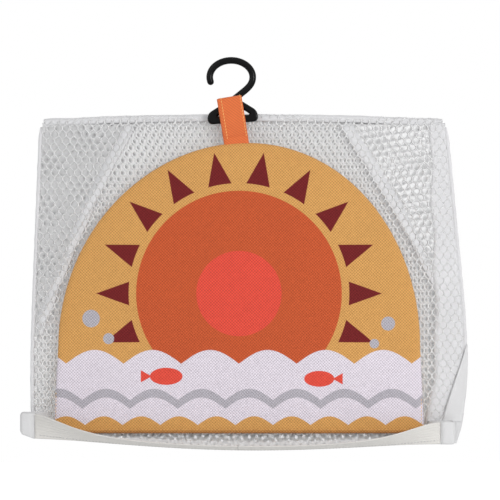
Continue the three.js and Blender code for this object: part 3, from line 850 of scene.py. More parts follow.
@cache
def lattice_tree() -> NodeTree:
    """Builds the tree that knits a flat net from one cell.

    Returns:
        The Geometry Nodes tree. The net lies in X and Z, with its middle at the origin.
    """
    pen, given, result = open_group(
        "KnittedNet", "GeometryNodeTree",
        [("Host", "Geometry", None), ("Cell", "Object", None),
         ("Columns", "Int", 10), ("Rows", "Int", 10),
         ("Pitch", "Float", 6.25 * MM), ("Row Step", "Float", 5.1 * MM),
         ("Wander", "Float", 1.0 * MM), ("Seed", "Float", 1.0),
         ("Yarn", "Material", None)],
        [("Net", "Geometry")])
    wide = pen.times(pen.minus(given["Columns"], 1.0), given["Pitch"])
    tall = pen.times(pen.minus(given["Rows"], 1.0), given["Row Step"])
    spots = pen.out("Mesh", "GeometryNodeMeshGrid", {
        "Size X": wide, "Size Y": tall, "Vertices X": given["Columns"], "Vertices Y": given["Rows"]})
    up = pen.out("Y", "ShaderNodeSeparateXYZ", {"Vector": pen.out("Position", "GeometryNodeInputPosition")})
    row = pen.math("ROUND", pen.math("DIVIDE", pen.times_plus(tall, 0.5, up), given["Row Step"]))
    shift = pen.times(pen.math("FLOORED_MODULO", row, 2.0), pen.times(given["Pitch"], 0.5))
    staggered = pen.out("Geometry", "GeometryNodeSetPosition", {
        "Geometry": spots, "Offset": pen.out("Vector", "ShaderNodeCombineXYZ", {"X": shift})})
    cell = pen.out("Geometry", "GeometryNodeObjectInfo", {"Object": given["Cell"]})
    knots = pen.out("Instances", "GeometryNodeInstanceOnPoints", {"Points": staggered, "Instance": cell})
    real = pen.out("Geometry", "GeometryNodeRealizeInstances", {"Geometry": knots})
    joined = pen.out("Geometry", "GeometryNodeMergeByDistance", {"Geometry": real, "Distance": 0.05 * MM})
    noise = pen.out("Color", "ShaderNodeTexNoise", {
        "W": given["Seed"], "Scale": 16.0, "Detail": 1.0}, noise_dimensions="4D")
    centred = pen.out("Vector", "ShaderNodeVectorMath", {0: noise, 1: (0.5, 0.5, 0.5)},
                      operation="SUBTRACT")
    drift = pen.out("Vector", "ShaderNodeVectorMath", {
        0: centred, "Scale": pen.times(given["Wander"], 4.0)}, operation="SCALE")
    level = pen.out("Vector", "ShaderNodeVectorMath", {0: drift, 1: (1.0, 1.0, 0.0)}, operation="MULTIPLY")
    wandered = pen.out("Geometry", "GeometryNodeSetPosition", {"Geometry": joined, "Offset": level})
    stood = pen.out("Geometry", "GeometryNodeTransform", {
        "Geometry": wandered, "Rotation": (math.pi / 2, 0.0, 0.0)})
    pen.feed(result["Net"], pen.dressed(stood, given["Yarn"]))
    return pen.tree


@dataclass
class NetFabric:
    """The knitted net: staggered rounded holes between flat strands."""

    yarn: Material
    pitch: float = 6.25 * MM
    row_step: float = 5.1 * MM
    apex: float = 4.0 * MM
    side_strand: float = 1.4 * MM
    cross_strand: float = 0.95 * MM
    relief: float = 0.2 * MM
    wander: float = 0.5 * MM
    roundness: float = 7.0
    pressed: float = 0.06 * MM
    nudge: float = 0.05 * MM
    rounded: bool = True

    def closer(self, side_strand: float, cross_strand: float, rounded: bool = False) -> "NetFabric":
        """The same net with wider strands and smaller holes, as where it lies gathered."""
        return replace(self, side_strand=side_strand, cross_strand=cross_strand, rounded=rounded,
                       relief=self.relief if rounded else self.pressed)

    def cell(self) -> Piece:
        """Makes one cell of the net: a hexagon with a rounded hole and a raised rim.

        Returns:
            The cell, lying in X and Y round the origin.
        """
        half = self.pitch / 2
        side = self.row_step - self.apex
        corners = np.array([(0.0, self.apex), (half, side), (half, -side), (0.0, -self.apex),
                            (-half, -side), (-half, side)])
        rim = np.stack([corners, (corners + np.roll(corners, -1, axis=0)) / 2], axis=1).reshape(-1, 2)
        slope = np.array([self.apex - side, half])
        slope /= np.linalg.norm(slope)
        reach = self.apex * slope[1] - self.cross_strand / 2
        flat = half - self.side_strand / 2
        way = rim / np.hypot(*rim.T)[:, None]
        to_side = flat / np.maximum(np.abs(way[:, 0]), 1e-6)
        to_cross = reach / (np.abs(way) @ slope)
        far = (to_side ** -self.roundness + to_cross ** -self.roundness) ** (-1 / self.roundness)
        size = len(rim)
        points = np.vstack([np.insert(spots, 2, lift, axis=1) for spots, lift in (
            (rim, self.relief), (rim, -self.relief), (way * far[:, None], 0.0))])
        faces = []
        for i in range(size):
            j = (i + 1) % size
            faces += [(i, 2 * size + i, 2 * size + j, j), (size + j, 2 * size + j, 2 * size + i, size + i)]
        return make_piece("net_cell", points, faces, [])

    def flat_net(self, width: float, height: float, seed: float) -> tuple[Array, Array]:
        """Knits a flat net round the origin in X and Z.

        Args:
            width: How wide it is at least.
            height: How high it is at least.
            seed: The seed of its irregular rows.

        Returns:
            Its points and its four-sided faces.
        """
        cell = self.cell()
        host = make_piece("net_host", np.zeros((3, 3)), [(0, 1, 2)], [])
        made = grown(host, lattice_tree(), {
            "Cell": cell, "Columns": math.ceil(width / self.pitch) + 2,
            "Rows": math.ceil(height / self.row_step) + 2, "Pitch": self.pitch,
            "Row Step": self.row_step, "Wander": self.wander, "Seed": seed, "Yarn": self.yarn}, "net_flat")
        points, corners = mesh_points(made.data), corner_points(made.data)
        for spare in (made, cell):
            bpy.data.objects.remove(spare)
        return points, corners.reshape(-1, 4)

    def cloth(self, name: str, span: Span, place: Place, seed: float, turn: float = 0.0,
              fit: Fit | None = None) -> Piece:
        """Knits a net, trims it to an outline and lays it on a surface.

        Args:
            name: The piece's name.
            span: The outline's box: low u, low v, high u, high v.
            place: Gives the surface's point for each u and v.
            seed: The seed of its irregular rows.
            turn: The net's turn in its own plane, in radians.
            fit: Moves places outside the outline onto it, where it isn't the span itself.

        Returns:
            The net as one mesh.
        """
        low_u, low_v, high_u, high_v = span
        reach = math.hypot(high_u - low_u, high_v - low_v) if turn else None
        points, quads = self.flat_net(reach or high_u - low_u, reach or high_v - low_v, seed)
        cos, sin = math.cos(turn), math.sin(turn)
        u = points[:, 0] * cos - points[:, 2] * sin + (low_u + high_u) / 2
        v = points[:, 0] * sin + points[:, 2] * cos + (low_v + high_v) / 2
        new_u, new_v = fit(u, v) if fit else (np.clip(u, low_u, high_u), np.clip(v, low_v, high_v))
        outside = np.hypot(new_u - u, new_v - v) > 1e-7
        quads = quads[~outside[quads].all(axis=1)]
        used, index = np.unique(quads, return_inverse=True)
        quads = index.reshape(-1, 4)
        u, v, lift = new_u[used], new_v[used], points[used, 1]
        middle = place(u, v)
        normal = np.cross(place(u, v + self.nudge) - middle, place(u + self.nudge, v) - middle)
        normal /= np.maximum(np.linalg.norm(normal, axis=1, keepdims=True), 1e-12)
        spots = middle + normal * lift[:, None]
        size = np.linalg.norm(np.cross(spots[quads[:, 2]] - spots[quads[:, 0]],
                                       spots[quads[:, 3]] - spots[quads[:, 1]]), axis=1)
        made = make_piece(name, spots, quads[size > 1e-10], [self.yarn])
        if not self.rounded:
            made.data.polygons.foreach_set("use_smooth", [False] * len(made.data.polygons))
        return made


@dataclass
class HangerHook:
    """The moulded hook: an open ring, a neck that curls back, and an eye for the strap."""

    rod: float = 5.6 * MM
    ring_across: float = 34.4 * MM
    ring_tall: float = 26.8 * MM
    ring_end: float = 196.0
    neck_drop: float = 18.4 * MM
    neck_sidestep: float = 14.4 * MM
    eye_width: float = 40.4 * MM
    eye_height: float = 21.1 * MM
    eye_thickness: float = 4.6 * MM
    eye_bar: float = 6.0 * MM
    eye_side: float = 5.7 * MM
    eye_end_height: float = 8.8 * MM
    eye_corner: float = 4.3 * MM
    eye_round: float = 1.7 * MM
    eye_tilt: float = 3.5
    eye_sidestep: float = 2.6 * MM
    collar_growth: float = 1.1 * MM
    collar_rings: int = 6
    sides: int = 20
    voxel: float = 0.42 * MM
    smoothing: float = 0.5
    smoothing_rounds: int = 5

    def route(self) -> Array:
        """The middle of the rod, from its tip round the ring and down the neck.

        Returns:
            The route's points.
        """
        centre = self.rod / 2 - self.ring_tall / 2
        angle = np.radians(np.linspace(self.ring_end, 0, 64))
        ring = np.column_stack([np.cos(angle) * self.ring_across / 2, 0 * angle,
                                centre + np.sin(angle) * self.ring_tall / 2])
        apex = self.ring_across / 2 - self.neck_sidestep
        a, b, c, d = (np.array(p) for p in (
            (self.ring_across / 2, 0, centre), (self.ring_across / 2, 0, centre - self.neck_drop / 2),
            (apex + self.neck_sidestep / 4, 0, centre - self.neck_drop * 2 / 3),
            (apex, 0, centre - self.neck_drop)))
        t = np.linspace(0, 1, 24)[1:, None]
        neck = a * (1 - t) ** 3 + 3 * b * t * (1 - t) ** 2 + 3 * c * t ** 2 * (1 - t) + d * t ** 3
        return np.vstack([ring, neck])

    def build(self, finish: Material) -> Piece:
        """Builds the hook as one smooth moulding.

        Args:
            finish: The hook's plastic.

        Returns:
            The hook.
        """
        route = self.route()
        radius = self.rod / 2
        angle = around(self.sides)[:, None]
        along = np.gradient(route, axis=0)
        along /= np.linalg.norm(along, axis=1, keepdims=True)
        side = along[:, None] @ np.array([[0, 0, 1], [0, 0, 0], [-1, 0, 0]])
        near = np.clip(1 - np.arange(len(route))[::-1] / self.collar_rings, 0, 1)[:, None, None]
        grow = radius * (1 + (self.collar_growth / radius) * near ** 2)
        rings = route[:, None] + grow * (np.cos(angle) * side + np.sin(angle) * np.array([0, 1, 0]))
        points, faces = [], []
        for part, part_faces in ((rings.reshape(-1, 3), loft(rings)), self.ball(route[0], radius),
                                 self.eye(route[-1, 0], route[-1, 2] + radius)):
            start = sum(map(len, points))
            points.append(part)
            faces += [tuple(start + i for i in face) for face in part_faces]
        made = make_piece("moulded_hook", np.vstack(points), faces, [finish])
        face_outwards(made)
        fuse = made.modifiers.new("fuse", "REMESH")
        fuse.mode = "VOXEL"
        fuse.voxel_size = self.voxel
        soften = made.modifiers.new("soften", "SMOOTH")
        soften.factor = self.smoothing
        soften.iterations = self.smoothing_rounds
        mesh = evaluated_mesh(made)
        made.modifiers.clear()
        made.data = mesh
        mesh.materials.clear()
        mesh.materials.append(finish)
        mesh.shade_smooth()
        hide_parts("hanger_hook")
        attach(made, "hanger")
        return made

    def ball(self, centre: Array, radius: float) -> tuple[Array, list]:
        """Makes the ball at the rod's tip.

        Args:
            centre: Its centre.
            radius: Its radius.

        Returns:
            Its points and faces.
        """
        angle = around(self.sides)
        rings = np.array([
            centre + radius * np.column_stack([
                np.cos(angle) * math.cos(tilt), np.sin(angle) * math.cos(tilt), 0 * angle + math.sin(tilt)])
            for tilt in np.linspace(0.1 - math.pi / 2, math.pi / 2 - 0.1, 11)])
        return rings.reshape(-1, 3), loft(rings)

    @staticmethod
    def rounded(corners: list[Pair], radius: float) -> Array:
        """Rounds the corners of a closed outline.

        Args:
            corners: Its corners.
            radius: How far from a corner its rounding starts.

        Returns:
            The rounded outline's points.
        """
        spots = []
        for i in range(len(corners)):
            here, before, after = (np.array(corners[k % len(corners)]) for k in (i, i - 1, i + 1))
            enter, leave = (here + (other - here) * radius / np.linalg.norm(other - here)
                            for other in (before, after))
            spots.append(rounding(enter, here, leave, 10))
        return np.vstack(spots)

    def eye(self, apex_x: float, apex_z: float) -> tuple[Array, list]:
        """The eye: a low triangle with round ends and a hole over its stout bar.

        Args:
            apex_x: The apex's place from side to side.
            apex_z: The apex's height.

        Returns:
            Its points and faces.
        """
        left = -self.eye_sidestep - self.eye_width / 2
        right = left + self.eye_width
        shoulder = self.eye_end_height - self.eye_height
        outline = [(left, -self.eye_height), (right, -self.eye_height), (right, shoulder), (0.0, 0.0),
                   (left, shoulder)]
        slopes = [math.atan2(-shoulder, reach) for reach in (-left, right)]
        ceiling = -self.eye_side / math.cos(sum(slopes) / 2)
        floor = self.eye_bar - self.eye_height
        hole = [((floor - ceiling) / math.tan(slopes[0]), floor),
                ((ceiling - floor) / math.tan(slopes[1]), floor), (0.0, ceiling)]
        curve = bpy.data.curves.new("eye", "CURVE")
        curve.dimensions = "2D"
        curve.fill_mode = "BOTH"
        curve.extrude = self.eye_thickness / 2 - self.eye_round
        curve.bevel_depth = self.eye_round
        curve.bevel_resolution = 3
        curve.offset = -self.eye_round
        for corners, radius in ((outline, self.eye_corner), (hole, self.eye_corner / 2)):
            trace(curve, self.rounded(corners, radius), closed=True)
        holder = add_object("eye", curve)
        flat = evaluated_mesh(holder)
        bpy.data.objects.remove(holder)
        x, z, deep = mesh_points(flat).T
        tilt = math.radians(self.eye_tilt)
        turned = np.column_stack([apex_x + x * math.cos(tilt) - z * math.sin(tilt), -deep,
                                  apex_z + x * math.sin(tilt) + z * math.cos(tilt)])
        return turned, [tuple(face.vertices) for face in flat.polygons]


@dataclass
class HangingStrap:
    """The tape loop that goes through the hook's eye, and its sewn ends in the panel's top."""

    width: float = 19.9 * MM
    thickness: float = 0.9 * MM
    bulge: float = 7.4 * MM
    lean: float = 9.2
    sidestep: float = 1.7 * MM
    leg_share: float = 0.09
    tuck: float = 5.6 * MM
    stations: int = 150
    seam_insets: Pair = (3.4 * MM, 1.2 * MM)
    seam_lift: float = 0.66
    edge_share: float = 0.16
    edge_rest: float = 0.12
    bend_reach: float = 2.6 * MM
    seam_start: float = 1.0 * MM
    stitch: Stitch = Stitch(2.5 * MM, 2.1 * MM, 0.56 * MM)
    route_shares: tuple[Triple, ...] = (
        (0.36, 0.2, 1), (0.84, 0.44, 1), (1, 0.75, 1), (0.97, 0.93, 1), (0.85, 1, 1), (0.7, 0.95, 1),
        (0.6, 0.84, 0.8), (0.45, 0.705, 0.5), (0.12, 0.657, 0.4), (-0.33, 0.648, 0.4),
        (-0.55, 0.56, 0.5), (-0.52, 0.4, 0.8), (-0.3, 0.2, 1))

    def __post_init__(self) -> None:
        """Reads the strap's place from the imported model."""
        self.bar_z = joint_place("strap_swing").z
        self.root_z = joint_place("panel_tilt").z
        self.panel_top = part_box("face_cover_front")[1].z
        self.top_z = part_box("hanging_strap")[1].z - self.thickness
        self.eye_x = HangerHook().route()[-1, 0]

    def centre_x(self, z: Array) -> Array:
        """The tape's middle at a height, as it leans."""
        return self.eye_x - self.sidestep + (self.bar_z - z) * math.tan(math.radians(self.lean))

    def route(self) -> Array:
        """The tape's middle line, as rows of lean share, depth and height.

        Returns:
            The smoothed route.
        """
        loop = self.top_z - self.panel_top
        rows = [(lean, -forward * self.bulge, self.panel_top + up * loop)
                for forward, up, lean in self.route_shares]
        leg = self.leg_share * self.bulge
        low = self.panel_top - self.tuck
        rows = [(1, -leg, low), (1, -leg, self.root_z)] + rows + [(1, leg, self.root_z), (1, leg, low)]
        return smooth_route(np.array(rows, float), self.stations)

    def frames(self) -> tuple[Array, Array, Array]:
        """The tape's middle line with the ways across and out of it.

        Returns:
            Centres, widthwise directions and outward directions.
        """
        route = self.route()
        angle = np.radians(self.lean) * route[:, 0]
        centres = np.column_stack([self.centre_x(route[:, 2]), route[:, 1], route[:, 2]])
        across = np.column_stack([np.cos(angle), 0 * angle, np.sin(angle)])
        along = np.gradient(centres, axis=0)
        out = np.cross(across, along)
        out /= np.linalg.norm(out, axis=1, keepdims=True)
        return centres, across, out

    def build(self, tape: Material, thread: Material) -> list[Piece]:
        """Builds the strap and its seam.

        Args:
            tape: The strap's twill.
            thread: The stitching thread.

        Returns:
            The pieces.
        """
        centres, across, out = self.frames()
        share = np.linspace(-1, 1, 13)
        edge = np.clip((1 - np.abs(share)) / self.edge_share, 0, 1) ** 0.5
        strap = skinned("strap_tape", two_faced(
            centres, [across * (s * self.width / 2) for s in share],
            [out * (e * 0.5 + self.edge_rest) * self.thickness for e in edge]), tape)
        add_uv(strap, centres, across, self.width)
        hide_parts("hanging_strap", "strap_sewn_end")
        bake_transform(strap)
        crest = int(np.argmax(centres[:, 2]))
        front = (centres[:, 2] > self.root_z + self.seam_start) & (np.arange(len(centres)) < crest)
        rows = [(centres + across * (side * (self.width / 2 - inset))
                 + out * self.seam_lift * self.thickness)[front]
                for side, inset in zip((-1, 1), self.seam_insets)]
        seam = sew("strap_seam", rows, thread, self.stitch)
        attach(seam, "strap")
        return [strap, seam]


@dataclass
class FacePanel:
    """The padded dome panel: two sewn covers round a foam sheet."""

    shoulder_share: float = 289.6 / 296
    dome_share: float = 163.6 / 233.2
    corner: float = 8.0 * MM
    edge: float = 2.5 * MM
    edge_round: float = 5.0 * MM
    front_crown: float = 2.9 * MM
    back_crown: float = 0.5 * MM
    crown_reach: float = 34.0 * MM
    pucker: float = 0.4 * MM
    pucker_step: float = 8.5 * MM
    top_drift: float = 6.0 * MM
    outline_points: int = 360
    hem_inset: float = 3.6 * MM
    hem_ends: float = 7.0 * MM
    side_rows: tuple[Triple, ...] = ((1.6 * MM, 1.8 * MM, 32.0 * MM), (2.4 * MM, 2.2 * MM, 27.0 * MM))
    side_row_foot: float = 6.0 * MM
    thread_lift: float = 0.06 * MM
    stitch: Stitch = Stitch(2.9 * MM, 2.3 * MM, 0.4 * MM)
    seam_half: float = 0.12 * MM
    pucker_middle: float = 4.0 * MM
    pucker_reach: float = 6.0 * MM
    edge_power: float = 2.4
    fill: float = 0.5
    heart: float = 0.36
    slant: float = 0.93
    ring_shares: tuple[float, ...] = (0, 0.004, 0.009, 0.015, 0.022, 0.03, 0.04, 0.052, 0.068, 0.09, 0.12)

    def __post_init__(self) -> None:
        """Reads the panel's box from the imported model."""
        low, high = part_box("face_cover_front")
        self.middle_x = (low.x + high.x) / 2
        self.bottom = low.z
        self.width = high.x - low.x
        self.height = high.z - low.z

    def outline(self) -> Array:
        """The dome's outline, from the middle of its lower edge round by the right.

        Returns:
            Rows of x and z from the panel's lower middle, evenly spaced.
        """
        half = self.width / 2
        shoulder = half * self.shoulder_share
        rise = self.height * self.dome_share
        spring = self.height - rise
        corner = self.corner
        turn = rounding((half - corner, 0), (half, 0), (half, corner), 24)
        angle = np.linspace(0, math.pi / 2, 200)
        arch = np.column_stack([shoulder * np.cos(angle), spring + rise * np.sin(angle)])
        side = np.vstack([[0, 0], turn, arch])
        loop = np.vstack([side, (side * [-1, 1])[::-1][1:-1], side[:1]])
        even = evenly(loop, run_along(loop), self.outline_points, endpoint=False)
        even[:, 0] += self.top_drift * np.clip(even[:, 1] / self.height, 0, 1) ** 3
        return even

    def stand_off(self, inward: Array, run: Array, crown: float) -> Array:
        """How far a cover stands off the middle plane.

        Args:
            inward: The distance in from the seam.
            run: The place along the seam.
            crown: How far the middle swells.

        Returns:
            The stand-off.
        """
        near = np.clip(inward / self.edge_round, 0, 1)
        turned = self.edge * np.sqrt(np.maximum(1 - (1 - near) ** self.edge_power, 0))
        swell = crown * (1 - np.exp(-inward / self.crown_reach))
        step = run / self.pucker_step
        gather = (np.sin(2 * math.pi * step + 1.7 * np.sin(step * 0.83)) * 0.6
                  + np.sin(2 * math.pi * step * 0.57 + 0.9) * 0.4)
        fade = np.exp(-((inward - self.pucker_middle) / self.pucker_reach) ** 2)
        return self.seam_half + turned + swell + self.pucker * gather * fade

    def build(self, front: Material, back: Material, thread: Material) -> list[Piece]:
        """Builds the panel and its stitching.

        Args:
            front: The printed cover.
            back: The plain cover.
            thread: The stitching thread.

        Returns:
            The pieces.
        """
        outline = self.outline()
        middle = np.array([0.0, self.height * self.heart])
        shares = 1 - np.concatenate([self.ring_shares, np.linspace(0.16, 0.97, 20)])
        size = len(outline)
        run = np.linspace(0, 1, size, endpoint=False) * line_length(np.vstack([outline, outline[:1]]))
        reach = np.linalg.norm(outline - middle, axis=1)
        share = shares[:, None]
        x, z = (middle[k] + (outline[:, k] - middle[k]) * share for k in (0, 1))
        front_half, back_half = (
            grid(x + self.middle_x, side * (share != 1) * self.stand_off(
                reach * (1 - share) * self.slant, run, crown), z + self.bottom)
            for side, crown in ((-1, self.front_crown), (1, self.back_crown)))
        rings = np.concatenate([front_half[::-1], back_half[1:]])
        faces = loft(rings)[:-2]
        marks = [0] * (len(faces) // 2) + [1] * (len(faces) // 2) + [0, 1] * size
        points = np.vstack([rings.reshape(-1, 3), rings[0].mean(axis=0), rings[-1].mean(axis=0)])
        last = len(points) - 2 - size
        for i in range(size):
            j = (i + 1) % size
            faces += [(len(points) - 2, j, i), (len(points) - 1, last + i, last + j)]
        pad = make_piece("face_pad", points, faces, [front, back])
        pad.data.polygons.foreach_set("material_index", np.array(marks, np.int32))
        face_outwards(pad)
        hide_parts("face_cover_front", "face_padding", "face_cover_back")
        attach(pad, "panel")
        tree = BVHTree.FromObject(pad, bpy.context.evaluated_depsgraph_get())
        seams = [self.seam_row(tree, row) for row in self.stitch_rows()]
        stitches = sew("panel_stitches", seams, thread, self.stitch)
        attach(stitches, "panel")
        return [pad, stitches]

    def stitch_rows(self) -> list[Span]:
        """Places the stitch rows on the front.

        Returns:
            Each row's start x, start z, end x and end z.
        """
        left, right = (self.middle_x + side * self.width / 2 for side in (-1, 1))
        low, foot = self.bottom + self.hem_inset, self.bottom + self.side_row_foot
        rows = [(left + self.hem_ends, low, right - self.hem_ends, low)]
        for edge, inwards, (start, end, top) in zip((left, right), (1, -1), self.side_rows):
            rows.append((edge + inwards * start, foot, edge + inwards * end, self.bottom + top))
        return rows

    def seam_row(self, tree: BVHTree, row: Span) -> Array:
        """Lays a straight row on the front of a piece.

        Args:
            tree: The piece's surface.
            row: Its start x, start z, end x and end z.

        Returns:
            The row's points, just proud of the surface.
        """
        x0, z0, x1, z1 = row
        spots = []
        for t in np.linspace(0, 1, 120):
            start = Vector((x0 + (x1 - x0) * t, -0.1, z0 + (z1 - z0) * t))
            hit = tree.ray_cast(start, Vector((0, 1, 0)))[0]
            if hit is not None:
                spots.append((hit.x, hit.y - self.thread_lift, hit.z))
        return np.array(spots)


class Side(Enum):
    """A side of the organizer as seen from the front: its value is the way to it along X."""

    LEFT = -1
    RIGHT = 1

    @property
    def word(self) -> str:
        """The side's word in the names of pieces and nodes."""
        return self.name.lower()


def side_profile(node: str, side: Side, inner: bool = False) -> Curve:
    """A side seam's edge at each height.

    Args:
        node: The seam's node.
        side: The side of the bag that it is on.
        inner: Whether the seam's inner edge is read, not its outer one.

    Returns:
        A function from height to x.
    """
    points = points_of(node)
    heights = np.unique(np.round(points[:, 2], 5))
    pick = max if (side is Side.RIGHT) != inner else min
    edge = [pick(points[np.abs(points[:, 2] - z) < 1e-4][:, 0]) for z in heights]
    fitted = np.polyfit(heights, np.array(edge), 4)
    return lambda z: np.polyval(fitted, np.clip(z, heights[0], heights[-1]))


def upright(depth: Place) -> Place:
    """A surface over x and z whose depth a function gives."""
    return lambda u, v: np.column_stack([u, depth(u, v), v])


@dataclass
class NetBag:
    """The net bag, folded flat behind the panel: two walls, two gussets, folds and seams."""

    fabric: NetFabric
    tape: Material
    ripple: float = 0.35 * MM
    lining_leg: float = 2.6 * MM
    seam_bulge: float = 0.3 * MM
    seam_ease: float = 0.3 * MM
    seam_tuck: float = 0.1 * MM
    allowance: float = 11.0 * MM
    tape_run_on: float = 4.5 * MM
    spread_reach: float = 40.0 * MM
    gathering: float = 1.4
    wall_seed: float = 1.3
    front_seed: float = 2.9
    ply_gap: dict[Side, float] = field(default_factory=lambda: {
        Side.LEFT: 0.08 * MM, Side.RIGHT: 0.1 * MM})
    loose_top: float = 0.1 * MM
    leaf_top: float = 2.6 * MM
    leaf_shift: float = 0.9 * MM
    leaf_turns: dict[str, float] = field(default_factory=lambda: {"inner": 9.0, "outer": -7.0})
    least_fill: float = 0.31
    crest_reach: float = 9.6 * MM
    fold_margin: float = 0.98
    seam_points: int = 16
    seam_tip: float = 0.35
    seam_tip_steps: int = 3
    allowance_swell: Pair = (0.1, 1.5)
    area_share: float = 0.5
    binding_reach: float = 8.0 * MM
    binding_ply: float = 0.5 * MM
    binding_ease: float = 0.1 * MM
    binding_wobble: float = 0.4 * MM
    binding_bend: float = 0.7 * MM
    binding_turn: float = 3.0 * MM
    fold_bend: float = 0.5 * MM
    fold_swell: float = 0.25 * MM
    lining_ends: float = 0.5 * MM
    lining_wave: float = 0.15 * MM
    fold_ease: float = 0.5 * MM
    lining_ease: float = 0.45 * MM
    lining_ply: float = 0.4 * MM
    allowance_ply: float = 0.35 * MM
    allowance_foot: float = 2.0 * MM
    allowance_edge: float = 0.5 * MM
    allowance_gap: float = 0.06 * MM
    tape_ply: float = 0.55 * MM
    tape_edge: float = 0.2 * MM
    tape_least: float = 0.6 * MM
    tape_inset: float = 0.25 * MM
    tape_crease: float = 0.5 * MM
    tape_wave: float = 0.2 * MM
    far_strands: Pair = (3.3 * MM, 2.6 * MM)
    gusset_strands: dict[Side, Pair] = field(default_factory=lambda: {
        Side.LEFT: (5.4 * MM, 4.8 * MM), Side.RIGHT: (6.0 * MM, 5.5 * MM)})

    def __post_init__(self) -> None:
        """Reads the bag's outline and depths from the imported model."""
        self.left = side_profile("side_seam_left_back", Side.LEFT, inner=True)
        self.right = side_profile("side_seam_right_back", Side.RIGHT, inner=True)
        points = points_of("bag_bottom_fold")
        at = np.linspace(points[:, 0].min(), points[:, 0].max(), 40)
        top = [points[np.abs(points[:, 0] - x) < self.crest_reach][:, 2].max() for x in at]
        self.crest = partial(np.interp, xp=at, fp=np.array(top))
        low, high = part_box("bag_bottom_fold")
        self.fold_radius = (high.y - low.y) / 2
        self.fold_middle = (high.y + low.y) / 2

    @staticmethod
    def depth(node: str) -> float:
        """The middle of a packed plate's thickness."""
        return sum(corner.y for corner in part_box(node)) / 2

    def waves(self, x: Array, z: Array, seed: float) -> Array:
        """The soft unevenness of a net layer."""
        return self.ripple * (np.sin(x / (31 * MM) + seed) * np.sin(z / (43 * MM) + 2 * seed)
                              + 0.5 * np.sin((x + z) / (17 * MM) + 3 * seed))

    def wall_back(self, x: Array, z: Array) -> Array:
        """The depth of the wall next to the panel, with its unevenness."""
        return self.depth("back_net_wall") + self.waves(x, z, self.wall_seed)

    def wall(self, name: str, node: str, body: str, seed: float) -> Piece:
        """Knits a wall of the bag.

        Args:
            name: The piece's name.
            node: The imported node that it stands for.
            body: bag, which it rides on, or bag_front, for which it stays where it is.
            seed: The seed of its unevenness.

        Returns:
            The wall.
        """
        low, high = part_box(node)
        depth = self.depth(node)
        margin = self.fold_radius * self.fold_margin

        def fit(u: Array, v: Array) -> tuple[Array, Array]:
            """Keeps a place between the seams, over the foot and under the fold."""
            v = np.clip(v, low.z, self.crest(u) - margin)
            return np.clip(u, self.left(v), self.right(v)), v

        knitted = self.fabric if body == "bag" else self.fabric.closer(*self.far_strands, rounded=True)
        made = knitted.cloth(name, (low.x, low.z, high.x, high.z + margin),
                             upright(lambda u, v: depth + self.waves(u, v, seed)), seed, fit=fit)
        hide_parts(node)
        self.follow(made, body)
        return made

    def follow(self, piece: Piece, body: str) -> None:
        """Makes a piece ride on the bag; a piece of the front wall, whose foot stays sewn to the bag, only
        has its place baked into its points.

        Args:
            piece: The piece.
            body: bag or bag_front.
        """
        if body == "bag_front":
            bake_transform(piece)
        else:
            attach(piece, body)

    def bridge(self, piece: Piece, inset: float) -> None:
        """Bakes a piece's place into its points; it is not bent from the bag to its front wall."""
        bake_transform(piece)

    def fold_line(self, side: Side) -> Curve:
        """The inner fold of a gusset, as a function from height to x."""
        points = points_of(f"gusset_{side.word}_fold")
        return partial(np.polyval, np.polyfit(points[:, 2], points[:, 0], 3))

    def leaf(self, side: Side, layer: str, body: str, seed: float) -> Piece:
        """Knits one leaf of a gusset.

        Args:
            side: Its side.
            layer: inner or outer.
            body: The body that it rides on.
            seed: The seed of its unevenness.

        Returns:
            The leaf.
        """
        node = f"gusset_{side.word}_{layer}_leaf"
        low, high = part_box(node)
        fold = self.fold_line(side)
        edge = self.left if side is Side.LEFT else self.right
        wide, tall = high.x - low.x, high.z - low.z
        top = high.z + self.leaf_top

        def fit(u: Array, v: Array) -> tuple[Array, Array]:
            """Keeps a place between the fold and the side seam."""
            v = np.clip(v, low.z, top)
            return np.clip(u, np.minimum(fold(v), edge(v)), np.maximum(fold(v), edge(v))), v

        if layer == "inner":
            place = upright(lambda u, v: self.wall_back(u, v) + self.ply_gap[side]
                            + self.loose_top * np.clip((v - low.z) / tall, 0, 1) ** 2)
        else:
            depth = self.depth(node) - self.leaf_shift
            place = upright(lambda u, v: depth + 0.5 * self.waves(u, v, seed))
        gathered = self.fabric.closer(*self.gusset_strands[side])
        made = gathered.cloth(f"net_gusset_{side.word}_{layer}", (low.x, low.z, high.x, top), place, seed,
                              side.value * math.radians(self.leaf_turns[layer]), fit)
        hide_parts(node)
        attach(made, body)
        levels = np.linspace(low.z, high.z, 50)
        area = float(np.abs(edge(levels) - fold(levels)).mean()) * tall
        return made

    def gusset_tape(self, side: Side) -> Piece:
        """Makes the folded binding along a gusset's inner edge.

        Args:
            side: Its side.

        Returns:
            The binding.
        """
        node = f"gusset_{side.word}_fold"
        low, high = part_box(node)
        z = np.linspace(low.z, high.z, 60)
        x = self.fold_line(side)(z)
        slope = np.gradient(x, z)
        normal = np.column_stack([np.ones_like(z), -slope]) / np.hypot(1, slope)[:, None] * side.value
        middle = (low.y + high.y) / 2
        reach, ply = self.binding_reach, self.binding_ply
        far = (high.y - low.y) / 2 - self.binding_ease
        near = self.depth("back_net_wall") - middle
        section = [(-math.cos(a) * MM, math.sin(a) * (far if a > 0 else -near))
                   for a in np.linspace(-1.5, 1.5, 9)]
        section += [(reach, far), (reach, far - ply), (ply, far - ply), (ply, near + ply),
                    (reach, near + ply), (reach, near)]
        out, deep = np.array(section).T
        out = out + self.binding_wobble * np.sin(np.arange(len(z)) * 0.55)[:, None]
        soft = self.waves(x, z, self.wall_seed)[:, None] * (deep < 0)
        rings = grid(x[:, None] + normal[:, :1] * out, middle + deep + soft,
                     z[:, None] + normal[:, 1:] * out)
        made = skinned(f"gusset_binding_{side.word}", rings, self.tape)
        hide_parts(node)
        self.bridge(made, self.binding_bend)
        return made

